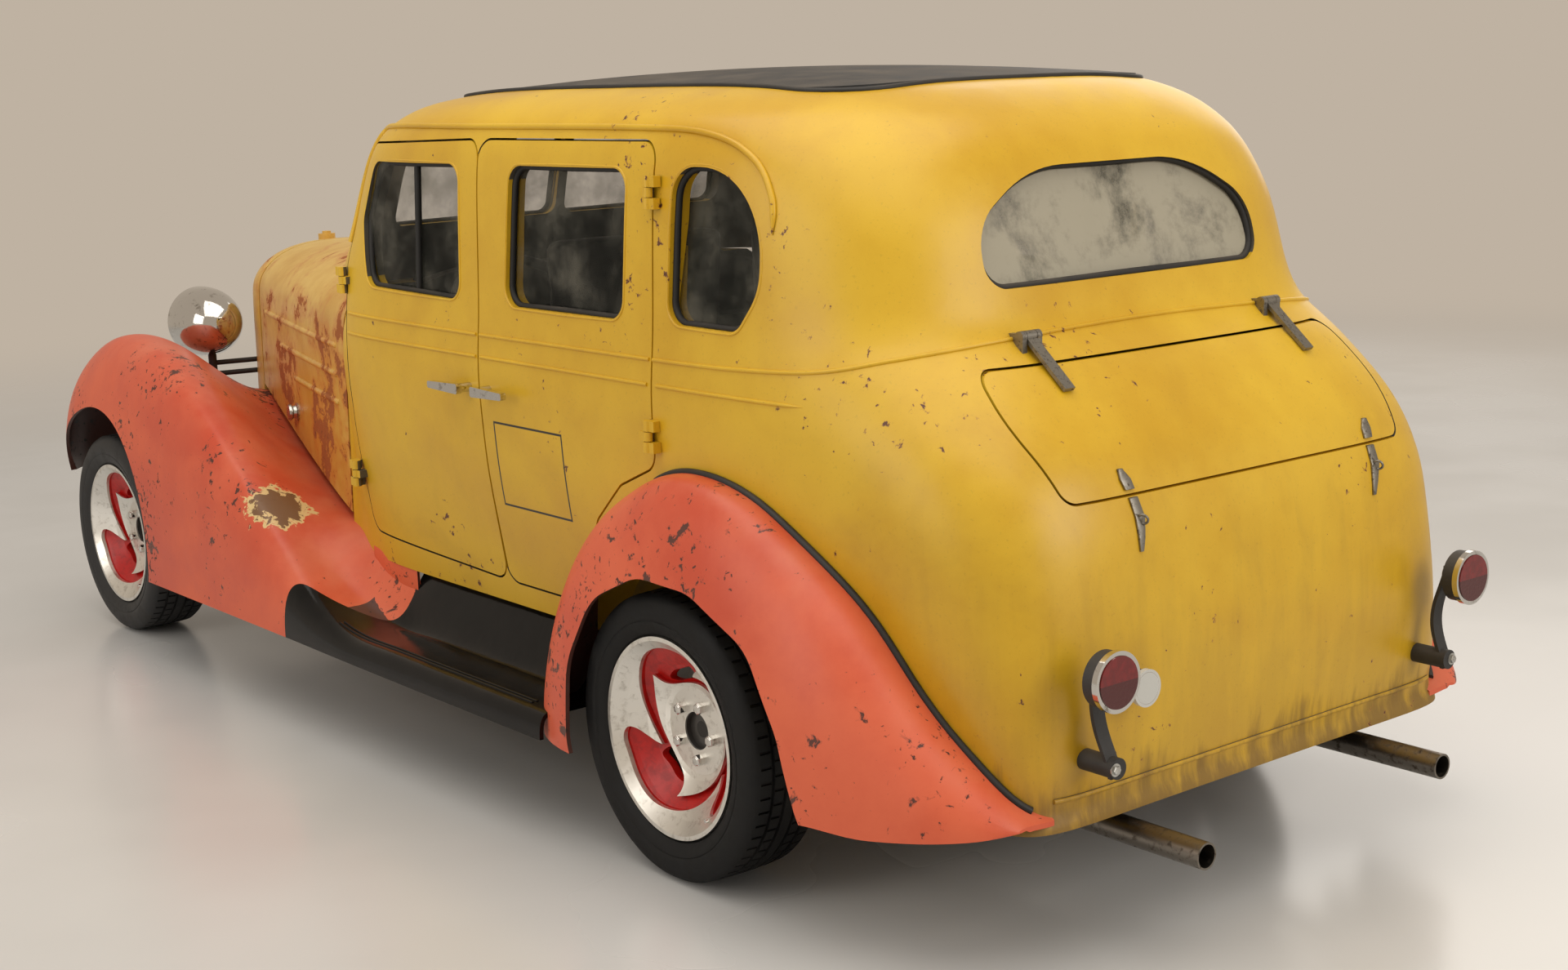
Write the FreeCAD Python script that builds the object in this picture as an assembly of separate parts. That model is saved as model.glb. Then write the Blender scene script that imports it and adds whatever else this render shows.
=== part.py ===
import FreeCAD, Part
import math
import os

os.makedirs("parts", exist_ok=True)
V = FreeCAD.Vector

# Chassis sizes, millimetres, +X forward, +Y left, +Z up, rear axle at X = 0 while modelling
WHEELBASE = 2870.0
TYRE_RADIUS = 303.0
TYRE_WIDTH = 192.0
TYRE_TREAD = 150.0
RIM_RADIUS = 211.0
RIM_SEAT = 197.0
RIM_FACE_Y = 808.0
RIM_WIDTH = 168.0
RIM_WALL = 7.0
HUB_BORE = 40.0
HUB_STEP = 90.0
LUG_CIRCLE = 60.0
LUG_RADIUS = 6.5
LUG_RECESS = 11.0
LUG_TURN = 42.0
LUGS = 5
CLAWS = 3
CHANNEL_DEPTH = 15.0
BOWL = [(14, 187), (24, 176), (52, 140), (72, 104), (76, 92), (76, HUB_BORE)]
# Outlines of one third of the rim's face, as radius and angle, 0 forward and 90 up
CLAW_RING = [(119, -25), (133, -19), (148, -12), (163, -7), (175, -6), (183, -10), (184, -20), (184, -35),
             (184, -50), (181, -62), (174, -74), (165, -86), (154, -99), (142, -112), (130, -126),
             (119, -145)]
CLAW_ISLAND = [(148, -75), (136, -75.5), (123, -74), (111, -68), (104, -58), (101, -45), (103, -27),
               (110, -9), (119, 9), (129, 25), (148, 45)]
CLAW_HOLE = [(130, -30), (112, -31), (108, -45), (111, -62), (127, -70), (133, -60), (133, -42)]
RAIL_Y = 350.0
RAIL_WIDTH = 60.0
RAIL_DEPTH = 85.0
RAIL_WALL = 6.0
RAIL_RISE = 80.0
RAIL_FRONT = 3060.0
CROSS_WIDTH = 60.0
CROSS_DROP = 12.0
RAIL_REAR = -800.0
JACK_PAD_X = 800.0
JACK_PAD_DEPTH = 8.0
AXLE_RADIUS = 36.0
DIFF_RADIUS = 105.0
KINGPIN_Y = 560.0
KINGPIN_RADIUS = 12.0
SPINDLE_RADIUS = 17.0
BEAM_DEPTH = 56.0
DRUM_RADIUS = 125.0
DRUM_WIDTH = 52.0
BEAM_WIDTH = 44.0

# Body sizes
BODY_BOTTOM = 265.0
FLOOR_Z = 420.0
FLOOR_THICK = 40.0
BODY_WALL = 45.0
ROOF_THICK = 28.0
BODY_MID_X = 550.0
COWL_X = 1490.0
COWL_STEP = 2.0
FIREWALL_X = 1705.0
FIREWALL_THICK = 40.0
SKIRT_X = -540.0
SKIRT_WALL = 16.0
PARTITION_X = -330.0
PARTITION_THICK = 28.0
WHEELHOUSE_RADIUS = 365.0
WHEELHOUSE_WALL = 22.0
WHEELHOUSE_Y = 590.0
KICKUP_FRONT = 330.0
KICKUP_REAR = -430.0
KICKUP_Z = 500.0
SEAM = 5.0
SHUT = 0.3
RAIL_TOP = FLOOR_Z - SHUT

# Outline of the tail on the centre line, front of the cabin and half width, each by height
TAIL_LINE = [(265, -850), (420, -868), (560, -874), (780, -848), (880, -813), (960, -757), (1060, -650),
             (1110, -583), (1170, -547), (1330, -508), (1460, -448), (1540, -360), (1585, -255),
             (1605, -150)]
NOSE_LINE = [(265, 1640), (1190, 1640), (1250, 1604), (1330, 1578), (1480, 1520), (1560, 1440), (1605, 1230)]
WIDTH_LINE = [(265, 645), (420, 664), (600, 690), (780, 713), (960, 721), (1120, 710), (1410, 694),
              (1480, 684), (1530, 662), (1565, 620), (1590, 545), (1605, 440)]
TAIL_SQUARE = [(265, 16.0), (420, 12.5), (600, 9.0), (780, 7.5), (1060, 5.4), (1330, 4.8), (1605, 3.3)]
NOSE_SQUARE = [(265, 9.0), (1060, 9.0), (1330, 7.0), (1480, 6.0), (1605, 3.6)]
BODY_LEVELS = [265, 280, 295, 310, 340, 420, 500, 600, 700, 780, 850, 910, 960, 1010, 1060, 1110, 1170,
               1250, 1330, 1410, 1470, 1510, 1540, 1565, 1585, 1597, 1605]

TAIL_LIP = 14.0
TAIL_LIP_HEIGHT = 42.0

RING_STEPS = 48
RING_TURN = 260.0

# Roof insert
INSERT_REAR = -200.0
INSERT_FRONT = 1300.0
INSERT_HALF = 470.0
INSERT_CORNER = 150.0
INSERT_GAP = 0.3
ROOF_TOP = 1632.0
ROOF_DROP = 33.0

# Doors
DOOR_SEAM_X = 805.0
DOOR_FRONT_X = 1484.0
DOOR_REAR_X = 126.0
DOOR_TOP = 1494.0
DOOR_BOTTOM = 478.0
DOOR_CORNER = 45.0
WINDOW_BOTTOM = 1130.0
WINDOW_TOP = 1440.0
WINDOW_CORNER = 45.0
PILLAR_X = (780.0, 830.0)
PILLAR_DEPTH = 30.0
PILLAR_GAP = 6.0
GLASS_THICK = 5.0
GLASS_LAP = 9.0
HINGE_RADIUS = 11.0
HINGE_PIN = 5.0
HINGE_LENGTH = 66.0
HINGE_RUN = 0.35
HINGE_STAND = 12.5
HINGE_CLEAR = 1.2

# Hood
HOOD_REAR = 1710.0
HOOD_FRONT = 2860.0
HOOD_WALL = 16.0
HOOD_HALF_REAR = 592.0
HOOD_HALF_FRONT = 285.0
HOOD_SHOULDER = 990.0
HOOD_TOP_REAR = 1200.0
HOOD_TOP_FRONT = 1140.0
HOOD_EDGE_REAR = 500.0
HOOD_EDGE_FRONT = 705.0
HOOD_ROD = 4.0
SHELL_FRONT = 3040.0
SHELL_WALL = 18.0
SHELL_NARROW = 0.28
SHELL_DROP = 46.0
LOUVRE_RADIUS = 9.0
LOUVRES = [(1800, 2750, 940), (1800, 2520, 862), (1800, 2330, 786)]

# Fenders and running boards
FENDER_WALL = 10.0
ARCH_RADIUS = 392.0
BOARD_INNER = 618.0
BOARD_OUTER = 872.0
BOARD_TOP = 284.0
BOARD_BOTTOM = 226.0
BOARD_REAR = 385.0
BOARD_END = [(300, 540), (1270, 540), (1290, 708), (1600, 850), (1645, 1000), (300, 1000)]
BOARD_CORNER = 120.0
BOARD_ARMS = (600, 860, 1200)
BOARD_FLAT = [(1250, 0.55), (1700, 0.15), (2000, 0.0)]

HOOD_CLEAR = 0.6
HOOD_FOLD = 36.0
GRILLE_BARS = 21
GRILLE_BAR = 5.0
CAP_X = 2939.0

# Front fender, by place along the car
FRONT_CROWN = [(385, BOARD_TOP), (1250, BOARD_TOP), (1400, 306), (1560, 372), (1700, 455), (1900, 575),
               (2100, 690), (2300, 788), (2500, 855), (2700, 891), (2870, 900), (2980, 884), (3080, 842),
               (3160, 785), (3220, 715), (3262, 640), (3290, 560), (3308, 470)]
FRONT_RIDGE_Y = [(385, 842), (1250, 838), (1600, 805), (2100, 775), (2870, 690), (3150, 665), (3308, 640)]
FRONT_OUT_Y = [(385, BOARD_OUTER), (1250, 876), (1600, 874), (2400, 876), (2870, 878), (3050, 866),
               (3160, 838), (3250, 786), (3308, 700)]
FRONT_LOW_Z = [(385, BOARD_BOTTOM), (2900, BOARD_BOTTOM), (3000, 300), (3150, 445), (3308, 455)]
FRONT_IN_Z = [(385, RAIL_TOP), (1250, RAIL_TOP), (1400, 430), (1560, 455), (1710, 478), (2000, 524),
              (2300, 577), (2600, 632), (2860, 684), (3000, 668), (3120, 628), (3220, 560), (3308, 465)]
FRONT_IN_Y = [(2860, 262), (3000, 290), (3120, 350), (3220, 450), (3308, 580)]

# Rear fender, by place along the car
REAR_CROWN = [(-852, 294), (-833, 312), (-745, 392), (-647, 482), (-500, 642), (-350, 742), (-200, 815),
              (-60, 843), (60, 830), (160, 785), (250, 728), (330, 650), (400, 540), (450, 400),
              (480, 250)]
REAR_RIDGE_Y = [(-852, 635), (-833, 648), (-745, 690), (-647, 712), (-400, 730), (0, 745), (300, 745),
                (480, 740)]
REAR_OUT_Y = [(-852, 655), (-833, 690), (-790, 737), (-727, 780), (-640, 814), (-560, 843), (-479, 863),
              (-400, 875), (0, 885), (300, 868), (400, 845), (480, 800)]
REAR_LOW_Z = [(-852, 287), (-815, 278), (-727, 267), (-605, 256), (-479, 262), (-300, 222), (480, 222)]
REAR_IN_Z = [(-852, 290), (-833, 302), (-745, 375), (-647, 452), (-480, 634), (-250, 770), (0, 830),
             (120, 820), (250, 778), (350, 690), (440, 520), (480, 300)]
FENDER_POWER = 2.15
REAR_ARCH = [(285, 150), (278, 420), (190, 570), (20, 645), (-150, 640), (-330, 560), (-430, 420),
             (-480, 275), (-540, 150)]

# Lamps
LID_PIN_X = -588.0
LID_PIN_Z = 1122.0
LID_SWING = 2.5
STRAP_Y = 350.0
STRAP_PIN = 5.0
HEADLAMP_X = 3045.0
HEADLAMP_Y = 400.0
HEADLAMP_Z = 900.0
HEADLAMP_RADIUS = 110.0
HEADLAMP_DEPTH = 168.0
TAIL_LAMP_X = -970.0
TAIL_LAMP_Y = 527.0
TAIL_LAMP_Z = 564.0
TAIL_LAMP_RADIUS = 56.0
TAIL_BOLT_X = -944.0
TAIL_BOLT_Y = 496.0
TAIL_BOLT_Z = 392.0
TAIL_ARM = [(-936, 496, 374), (-930, 497, 396), (-909, 501, 450), (-906, 511, 508), (-918, 527, 582)]
REVERSE_LAMP_Y = 398.0
REVERSE_LAMP_Z = 516.0
REVERSE_LAMP_RADIUS = 35.0

# Running gear under the floor
TORQUE_TUBE = 30.0
TIP_X = -1028.0
TIP_Y = 357.0
TIP_Z = 215.0
TIP_RADIUS = 26.0
TIP_BORE = 22.0
PIPE_RADIUS = 22.0
MUFFLER_RADIUS = 62.0
ENGINE_HALF = 200.0
CROSS_MEMBERS = [(RAIL_REAR + 30, RAIL_TOP), (-230, RAIL_TOP + RAIL_RISE), (600, RAIL_TOP),
                 (1240, RAIL_TOP), (1850, RAIL_TOP), (2600, RAIL_TOP)]
BUMPER_X = 2955.0
BUMPER_BOLTS_X = 120.0
BUMPER_BOLTS_Y = 652.0
TAIL_BOLTS_Y = 400.0
BUMPER_HOLE = 6.5
SPRING_Y = 440.0
SPRING_WIDTH = 50.0
SPRING_REACH = 520.0
SPRING_LEAF = 7.0
SPRING_LEAVES = 5

# Cabin
SEAT_TOP = 690.0
WHEEL_HUB = (1235.0, 330.0, 985.0)
STEERING_RADIUS = 205.0
STEERING_TILT = 38.0

NODES = {}


def keep(name, solids):
    """Store the solids of one node."""
    NODES[name] = solids


def along(line, place):
    """Read a hand-drawn outline at a place, with smooth slopes through its points."""
    count = len(line)
    if place <= line[0][0]:
        return float(line[0][1])
    if place >= line[-1][0]:
        return float(line[-1][1])
    slopes = []
    for i in range(count - 1):
        slopes.append((line[i + 1][1] - line[i][1]) / (line[i + 1][0] - line[i][0]))
    i = 0
    while place > line[i + 1][0]:
        i += 1
    def tangent(k):
        if k == 0:
            return slopes[0]
        if k == count - 1:
            return slopes[-1]
        if slopes[k - 1] * slopes[k] <= 0:
            return 0.0
        return 2.0 * slopes[k - 1] * slopes[k] / (slopes[k - 1] + slopes[k])
    span = line[i + 1][0] - line[i][0]
    t = (place - line[i][0]) / span
    h00 = (1 + 2 * t) * (1 - t) ** 2
    h10 = t * (1 - t) ** 2
    h01 = t * t * (3 - 2 * t)
    h11 = t * t * (t - 1)
    return h00 * line[i][1] + h10 * span * tangent(i) + h01 * line[i + 1][1] + h11 * span * tangent(i + 1)


def box(x0, x1, y0, y1, z0, z1):
    """Block between six planes."""
    return Part.makeBox(x1 - x0, y1 - y0, z1 - z0, V(x0, y0, z0))


def rod(start, end, radius):
    """Round bar between two points."""
    a = V(start[0], start[1], start[2])
    b = V(end[0], end[1], end[2])
    return Part.makeCylinder(radius, (b - a).Length, a, b - a)


def sweep(route, radius):
    """Round bar along a smooth route."""
    curve = Part.BSplineCurve()
    curve.interpolate([V(x, y, z) for x, y, z in route])
    ring = Part.Circle(curve.value(curve.FirstParameter), curve.tangent(curve.FirstParameter)[0], radius)
    return Part.Wire([curve.toShape()]).makePipeShell([Part.Wire([ring.toShape()])], True, False)


def fuse(solids):
    """Join solids that touch into one."""
    result = solids[0]
    for other in solids[1:]:
        result = result.fuse(other)
    return result.removeSplitter()


def mirror(shape):
    """The same piece on the car's other side."""
    return shape.mirror(V(0, 0, 0), V(0, 1, 0))


def rounded(points, radius):
    """Closed wire through corner points, each corner rounded by one radius or by its own."""
    own = isinstance(radius, list)
    count = len(points)
    edges = []
    ends = []
    for i in range(count):
        before = points[i - 1]
        corner = points[i]
        after = points[(i + 1) % count]
        a = (before - corner).normalize()
        b = (after - corner).normalize()
        half = a.getAngle(b) / 2.0
        reach = (radius[i] if own else radius) / math.tan(half)
        if not own:
            reach = min(reach, 0.45 * (before - corner).Length, 0.45 * (after - corner).Length)
        r = reach * math.tan(half)
        centre = corner + (a + b).normalize() * (r / math.sin(half))
        middle = centre + (corner - centre).normalize() * r
        ends.append((corner + a * reach, middle, corner + b * reach))
    for i in range(count):
        start, middle, end = ends[i]
        edges.append(Part.Arc(start, middle, end).toShape())
        edges.append(Part.LineSegment(end, ends[(i + 1) % count][0]).toShape())
    return Part.Wire(edges)


def prism_y(outline, radius, y0, y1):
    """Prism along Y from an outline of (x, z) corners."""
    wire = rounded([V(x, y0, z) for x, z in outline], radius)
    return Part.Face(wire).extrude(V(0, y1 - y0, 0))


def prism_x(outline, radius, x0, x1):
    """Prism along X from an outline of (y, z) corners."""
    wire = rounded([V(x0, y, z) for y, z in outline], radius)
    return Part.Face(wire).extrude(V(x1 - x0, 0, 0))


def prism_z(outline, radius, z0, z1):
    """Prism along Z from an outline of (x, y) corners."""
    wire = rounded([V(x, y, z0) for x, y in outline], radius)
    return Part.Face(wire).extrude(V(0, 0, z1 - z0))


def grow(outline, amount):
    """Move every side of a convex outline outwards by an amount."""
    count = len(outline)
    area = sum(outline[i - 1][0] * outline[i][1] - outline[i][0] * outline[i - 1][1] for i in range(count))
    turn = 1.0 if area > 0 else -1.0
    sides = []
    for i in range(count):
        ax, az = outline[i - 1]
        bx, bz = outline[i]
        length = math.hypot(bx - ax, bz - az)
        nx = turn * (bz - az) / length
        nz = -turn * (bx - ax) / length
        sides.append((nx, nz, nx * ax + nz * az + amount))
    result = []
    for i in range(count):
        a1, b1, c1 = sides[i]
        a2, b2, c2 = sides[(i + 1) % count]
        det = a1 * b2 - a2 * b1
        result.append(((c1 * b2 - c2 * b1) / det, (a1 * c2 - a2 * c1) / det))
    return result


def wider(radius, amount):
    """Corner radius, or the list of them, of an outline that has grown by an amount."""
    if isinstance(radius, list):
        return [value + amount for value in radius]
    return radius + amount


def closed_solid(faces):
    """Sew faces into one solid."""
    shell = Part.makeShell(faces)
    shell.sewShape()
    solid = Part.makeSolid(Part.Shell(shell.Faces))
    if solid.Volume < 0:
        solid.reverse()
    return solid


def spacing(rows, closed):
    """Parameters along the rows, from the average distance between neighbouring points."""
    count = len(rows[0])
    total = [0.0]
    for j in range(count if closed else count - 1):
        step = sum((row[(j + 1) % count] - row[j]).Length for row in rows) / len(rows)
        total.append(total[-1] + step)
    return [value / total[-1] for value in total]


def surface(rows, closed=False):
    """Smooth surface through rows of points; closed rows meet their own start."""
    along_row = spacing(rows, closed)
    columns = [[row[j] for row in rows] for j in range(len(rows[0]))]
    across = spacing(columns, False)
    curves = []
    for row in rows:
        curve = Part.BSplineCurve()
        curve.interpolate(Points=row, PeriodicFlag=closed, Parameters=along_row)
        curves.append(curve)
    poles = []
    for j in range(curves[0].NbPoles):
        column = Part.BSplineCurve()
        column.interpolate(Points=[curve.getPole(j + 1) for curve in curves], PeriodicFlag=False,
                           Parameters=across)
        poles.append(column.getPoles())
    grid = [[poles[j][i] for j in range(len(poles))] for i in range(len(poles[0]))]
    skin = Part.BSplineSurface()
    skin.buildFromPolesMultsKnots(grid, column.getMultiplicities(), curves[0].getMultiplicities(),
                                  column.getKnots(), curves[0].getKnots(), False, closed,
                                  column.Degree, curves[0].Degree)
    return skin


def sheet(outer_rows, inner_rows):
    """Panel between an outer and an inner surface, with square edges."""
    outer = surface(outer_rows)
    inner = surface(inner_rows)
    u0, u1, v0, v1 = outer.bounds()
    p0, p1, q0, q1 = inner.bounds()
    faces = [outer.toShape(), inner.toShape()]
    for a, b in ((u0, p0), (u1, p1)):
        faces.append(Part.makeRuledSurface(outer.uIso(a).toShape(), inner.uIso(b).toShape()))
    for a, b in ((v0, q0), (v1, q1)):
        faces.append(Part.makeRuledSurface(outer.vIso(a).toShape(), inner.vIso(b).toShape()))
    return closed_solid(faces)


def block(rows):
    """Solid under a surface whose first and last columns are joined by a flat bottom."""
    skin = surface(rows)
    u0, u1, v0, v1 = skin.bounds()
    left = skin.vIso(v0).toShape()
    right = skin.vIso(v1).toShape()
    faces = [skin.toShape(), Part.makeRuledSurface(left, right)]
    for u in (u0, u1):
        edge = skin.uIso(u).toShape()
        start = edge.valueAt(edge.FirstParameter)
        end = edge.valueAt(edge.LastParameter)
        faces.append(Part.Face(Part.Wire([edge, Part.LineSegment(end, start).toShape()])))
    return closed_solid(faces)


def spread(dense, count):
    """Pick points round a closed line, closer together where it turns."""
    total = len(dense)
    weights = [0.0]
    for i in range(total):
        before = dense[i] - dense[i - 1]
        after = dense[(i + 1) % total] - dense[i]
        turn = before.getAngle(after) if before.Length > 1e-9 and after.Length > 1e-9 else 0.0
        weights.append(weights[-1] + after.Length + RING_TURN * turn)
    result = []
    k = 0
    for i in range(count):
        goal = weights[-1] * i / count
        while weights[k + 1] < goal:
            k += 1
        share = (goal - weights[k]) / (weights[k + 1] - weights[k])
        result.append(dense[k] + (dense[(k + 1) % total] - dense[k]) * share)
    return result


def body_ring(z, inset, drop):
    """Closed plan outline of the body at one height, moved in by an inset."""
    z_read = z + drop
    tail = along(TAIL_LINE, z_read) + inset
    nose = along(NOSE_LINE, z_read) - inset
    half = along(WIDTH_LINE, z_read) - inset
    tail_power = 2.0 / along(TAIL_SQUARE, z_read)
    nose_power = 2.0 / along(NOSE_SQUARE, z_read)
    dense = []
    for i in range(RING_STEPS * 16):
        angle = 2.0 * math.pi * i / (RING_STEPS * 16)
        c = math.cos(angle)
        s = math.sin(angle)
        power = nose_power if c > 0 else tail_power
        reach = (nose - BODY_MID_X) if c > 0 else (BODY_MID_X - tail)
        dense.append(V(BODY_MID_X + math.copysign(reach * abs(c) ** power, c),
                       math.copysign(half * abs(s) ** power, s), z))
    return spread(dense, RING_STEPS)


def tail_lip(z):
    """How far the body's lower edge flares out at one height."""
    share = max(0.0, min(1.0, (BODY_BOTTOM + TAIL_LIP_HEIGHT - z) / TAIL_LIP_HEIGHT))
    return TAIL_LIP * share * share * (3.0 - 2.0 * share)


def ring_solid(rings):
    """Solid through closed rings, flat at its top and bottom."""
    skin = surface(rings, True)
    u0, u1, v0, v1 = skin.bounds()
    faces = [skin.toShape()]
    for u in (u0, u1):
        faces.append(Part.Face(Part.Wire([skin.uIso(u).toShape()])))
    return closed_solid(faces)


def side_y(x, z):
    """Half width of the body's outside at a place along the car."""
    front = x > BODY_MID_X
    end = along(NOSE_LINE, z) if front else along(TAIL_LINE, z)
    square = along(NOSE_SQUARE, z) if front else along(TAIL_SQUARE, z)
    share = min(1.0, abs((x - BODY_MID_X) / (end - BODY_MID_X)))
    return along(WIDTH_LINE, z) * (1.0 - share ** square) ** (1.0 / square)


def hood_share(x):
    """How far along the hood a place is, from 0 at the cowl to 1 at the radiator."""
    return (x - FIREWALL_X) / (HOOD_FRONT - FIREWALL_X)


def hood_half(x):
    """Half width of the hood at its shoulder."""
    return HOOD_HALF_REAR + (HOOD_HALF_FRONT - HOOD_HALF_REAR) * max(0.0, hood_share(x)) ** 1.08


def hood_top(x):
    """Height of the hood's centre line."""
    return HOOD_TOP_REAR + (HOOD_TOP_FRONT - HOOD_TOP_REAR) * hood_share(x)


def hood_section(x, inset, low):
    """Arch across the hood, from the left edge over the top to the right edge."""
    half = hood_half(x)
    top = hood_top(x) - inset
    left = []
    for z in (low, low + 0.35 * (HOOD_SHOULDER - low), low + 0.7 * (HOOD_SHOULDER - low)):
        left.append((half - inset + 12.0 * (HOOD_SHOULDER - z) / (HOOD_SHOULDER - HOOD_EDGE_REAR), z))
    steps = 9
    for i in range(steps + 1):
        angle = 0.5 * math.pi * i / steps
        y = (half - inset) * abs(math.cos(angle)) ** (2.0 / 2.4)
        z = HOOD_SHOULDER + (top - HOOD_SHOULDER) * math.sin(angle) ** (2.0 / 2.1)
        left.append((y if i < steps else 0.0, z))
    right = [(-y, z) for y, z in reversed(left[:-1])]
    return [V(x, y, z) for y, z in left + right]


def cowl_section(x, inset, low):
    """Arch across the cowl, which runs from just inside the door's section to the hood's."""
    inset = inset + COWL_STEP
    share = max(0.0, (x - COWL_X) / (FIREWALL_X - COWL_X))
    share = share * share * (3.0 - 2.0 * share)
    top = hood_top(x) + 6.0 - inset
    left = []
    for step in (0.0, 0.35, 0.7):
        z = low + step * (HOOD_SHOULDER - low)
        body = side_y(min(x, COWL_X), z)
        hood = hood_half(FIREWALL_X) + 12.0 * (HOOD_SHOULDER - z) / (HOOD_SHOULDER - HOOD_EDGE_REAR)
        left.append((body + (hood - body) * share - inset, z))
    half = side_y(COWL_X, HOOD_SHOULDER)
    half = half + (hood_half(FIREWALL_X) - half) * share - inset
    steps = 9
    for i in range(steps + 1):
        angle = 0.5 * math.pi * i / steps
        y = half * abs(math.cos(angle)) ** (2.0 / 2.4)
        z = HOOD_SHOULDER + (top - HOOD_SHOULDER) * math.sin(angle) ** (2.0 / 2.1)
        left.append((y if i < steps else 0.0, z))
    right = [(-y, z) for y, z in reversed(left[:-1])]
    return [V(x, y, z) for y, z in left + right]


def stations(start, end, count):
    """Evenly spaced places between two ends."""
    return [start + (end - start) * i / (count - 1) for i in range(count)]


def insert_outline(gap):
    """Plan outline of the roof insert."""
    rear = INSERT_REAR + gap
    front = INSERT_FRONT - gap
    half = INSERT_HALF - gap
    return [(rear, -half), (front, -half), (front, half), (rear, half)]


FRONT_DOOR = [(DOOR_SEAM_X + SEAM / 2, DOOR_BOTTOM), (DOOR_FRONT_X, DOOR_BOTTOM + 22),
              (DOOR_FRONT_X, 1180), (1452, 1370), (1392, 1480), (DOOR_SEAM_X + SEAM / 2, DOOR_TOP)]
REAR_DOOR = [(DOOR_SEAM_X - SEAM / 2, DOOR_TOP), (DOOR_REAR_X, DOOR_TOP), (DOOR_REAR_X, 838), (262, 782),
             (372, 690), (450, 560), (480, DOOR_BOTTOM), (DOOR_SEAM_X - SEAM / 2, DOOR_BOTTOM)]
FRONT_WINDOW = [(890, WINDOW_BOTTOM), (1336, WINDOW_BOTTOM + 8), (1384, 1300), (1330, WINDOW_TOP),
                (890, WINDOW_TOP)]
REAR_WINDOW = [(232, WINDOW_BOTTOM), (690, WINDOW_BOTTOM), (668, WINDOW_TOP), (218, WINDOW_TOP)]
QUARTER_WINDOW = [(-140, WINDOW_BOTTOM), (72, WINDOW_BOTTOM + 4), (60, WINDOW_TOP + 6),
                  (-196, WINDOW_TOP + 6), (-197, 1210)]
QUARTER_CORNERS = [40.0, 45.0, 60.0, 180.0, 120.0]
BACK_WINDOW = [(-393, 1206), (393, 1206), (393, 1330), (230, 1428), (-230, 1428), (-393, 1330)]
BACK_CORNERS = [50.0, 50.0, 110.0, 350.0, 350.0, 110.0]
HINGES = {"front": (DOOR_FRONT_X + SEAM / 2, 26.0, 1143.0, 648.0),
          "rear": (DOOR_REAR_X - SEAM / 2, -26.0, 1395.0, 902.0)}
LID = [(-500, 1070), (-520, 985), (-485, 850), (485, 850), (520, 985), (500, 1070)]
LID_CORNERS = [40.0, 180.0, 30.0, 30.0, 180.0, 40.0]


def pane(x0, x1, z0, z1, depth):
    """Slab of glass that follows the side of the body between two places."""
    corners = []
    for x, z in ((x0, z0), (x1, z0), (x1, z1), (x0, z1)):
        corners.append(V(x, side_y(x, z) - depth, z))
    normal = (corners[1] - corners[0]).cross(corners[3] - corners[0]).normalize()
    if normal.y > 0:
        normal = normal * -1.0
    return corners[0], normal


def side_glass(outline, corners, depth, lap):
    """Pane for a side window, cut to the window's outline with a lap into the frame."""
    xs = [p[0] for p in outline]
    zs = [p[1] for p in outline]
    origin, normal = pane(min(xs), max(xs), min(zs), max(zs), depth)
    size = 1400.0
    slab = Part.makeBox(size, size, GLASS_THICK + 2 * (lap - GLASS_LAP), V(-size / 2, -size / 2, 0))
    slab.Placement = FreeCAD.Placement(origin, FreeCAD.Rotation(V(0, 0, 1), normal))
    slab.translate(normal * -(lap - GLASS_LAP))
    return slab.common(prism_y(grow(outline, lap), wider(corners, lap), 400, 900))


def body_outer():
    """Whole outside of the cabin, tail and cowl as one solid."""
    cabin = ring_solid([body_ring(z, -tail_lip(z), 0.0) for z in BODY_LEVELS])
    cabin = cabin.cut(box(COWL_X, 2000, -900, 900, 200, 1120))
    cowl = block([cowl_section(x, 0.0, FLOOR_Z) for x in stations(COWL_X - 40, FIREWALL_X, 6)])
    return cabin.fuse(cowl).removeSplitter()


def body_inner():
    """Room inside the cabin and the cowl."""
    top = BODY_LEVELS[-1] - ROOF_THICK
    levels = [z for z in BODY_LEVELS if FLOOR_Z + FLOOR_THICK < z < 1400]
    levels = [FLOOR_Z + FLOOR_THICK] + levels + stations(1420, top, 6)
    rings = []
    for z in levels:
        drop = ROOF_THICK * max(0.0, (z - 1400.0) / (top - 1400.0))
        rings.append(body_ring(z, BODY_WALL, drop))
    cabin = ring_solid(rings)
    cabin = cabin.cut(box(COWL_X, 2000, -900, 900, 200, 1120))
    cowl = block([cowl_section(x, BODY_WALL, FLOOR_Z + FLOOR_THICK)
                  for x in stations(COWL_X - 60, FIREWALL_X - FIREWALL_THICK, 5)])
    room = cabin.fuse(cowl)
    room = room.cut(box(KICKUP_REAR - FLOOR_THICK, KICKUP_FRONT + FLOOR_THICK, -900, 900,
                        FLOOR_Z, KICKUP_Z + FLOOR_THICK))
    room = room.cut(box(PARTITION_X, PARTITION_X + PARTITION_THICK, -900, 900, FLOOR_Z, 1110))
    room = room.cut(box(-900, PARTITION_X + PARTITION_THICK, -900, 900, 1105, 1110 + PARTITION_THICK))
    for side in (1, -1):
        room = room.cut(rod((0, side * (WHEELHOUSE_Y - WHEELHOUSE_WALL), TYRE_RADIUS),
                            (0, side * 900, TYRE_RADIUS),
                            WHEELHOUSE_RADIUS + WHEELHOUSE_WALL))
    return room


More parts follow.
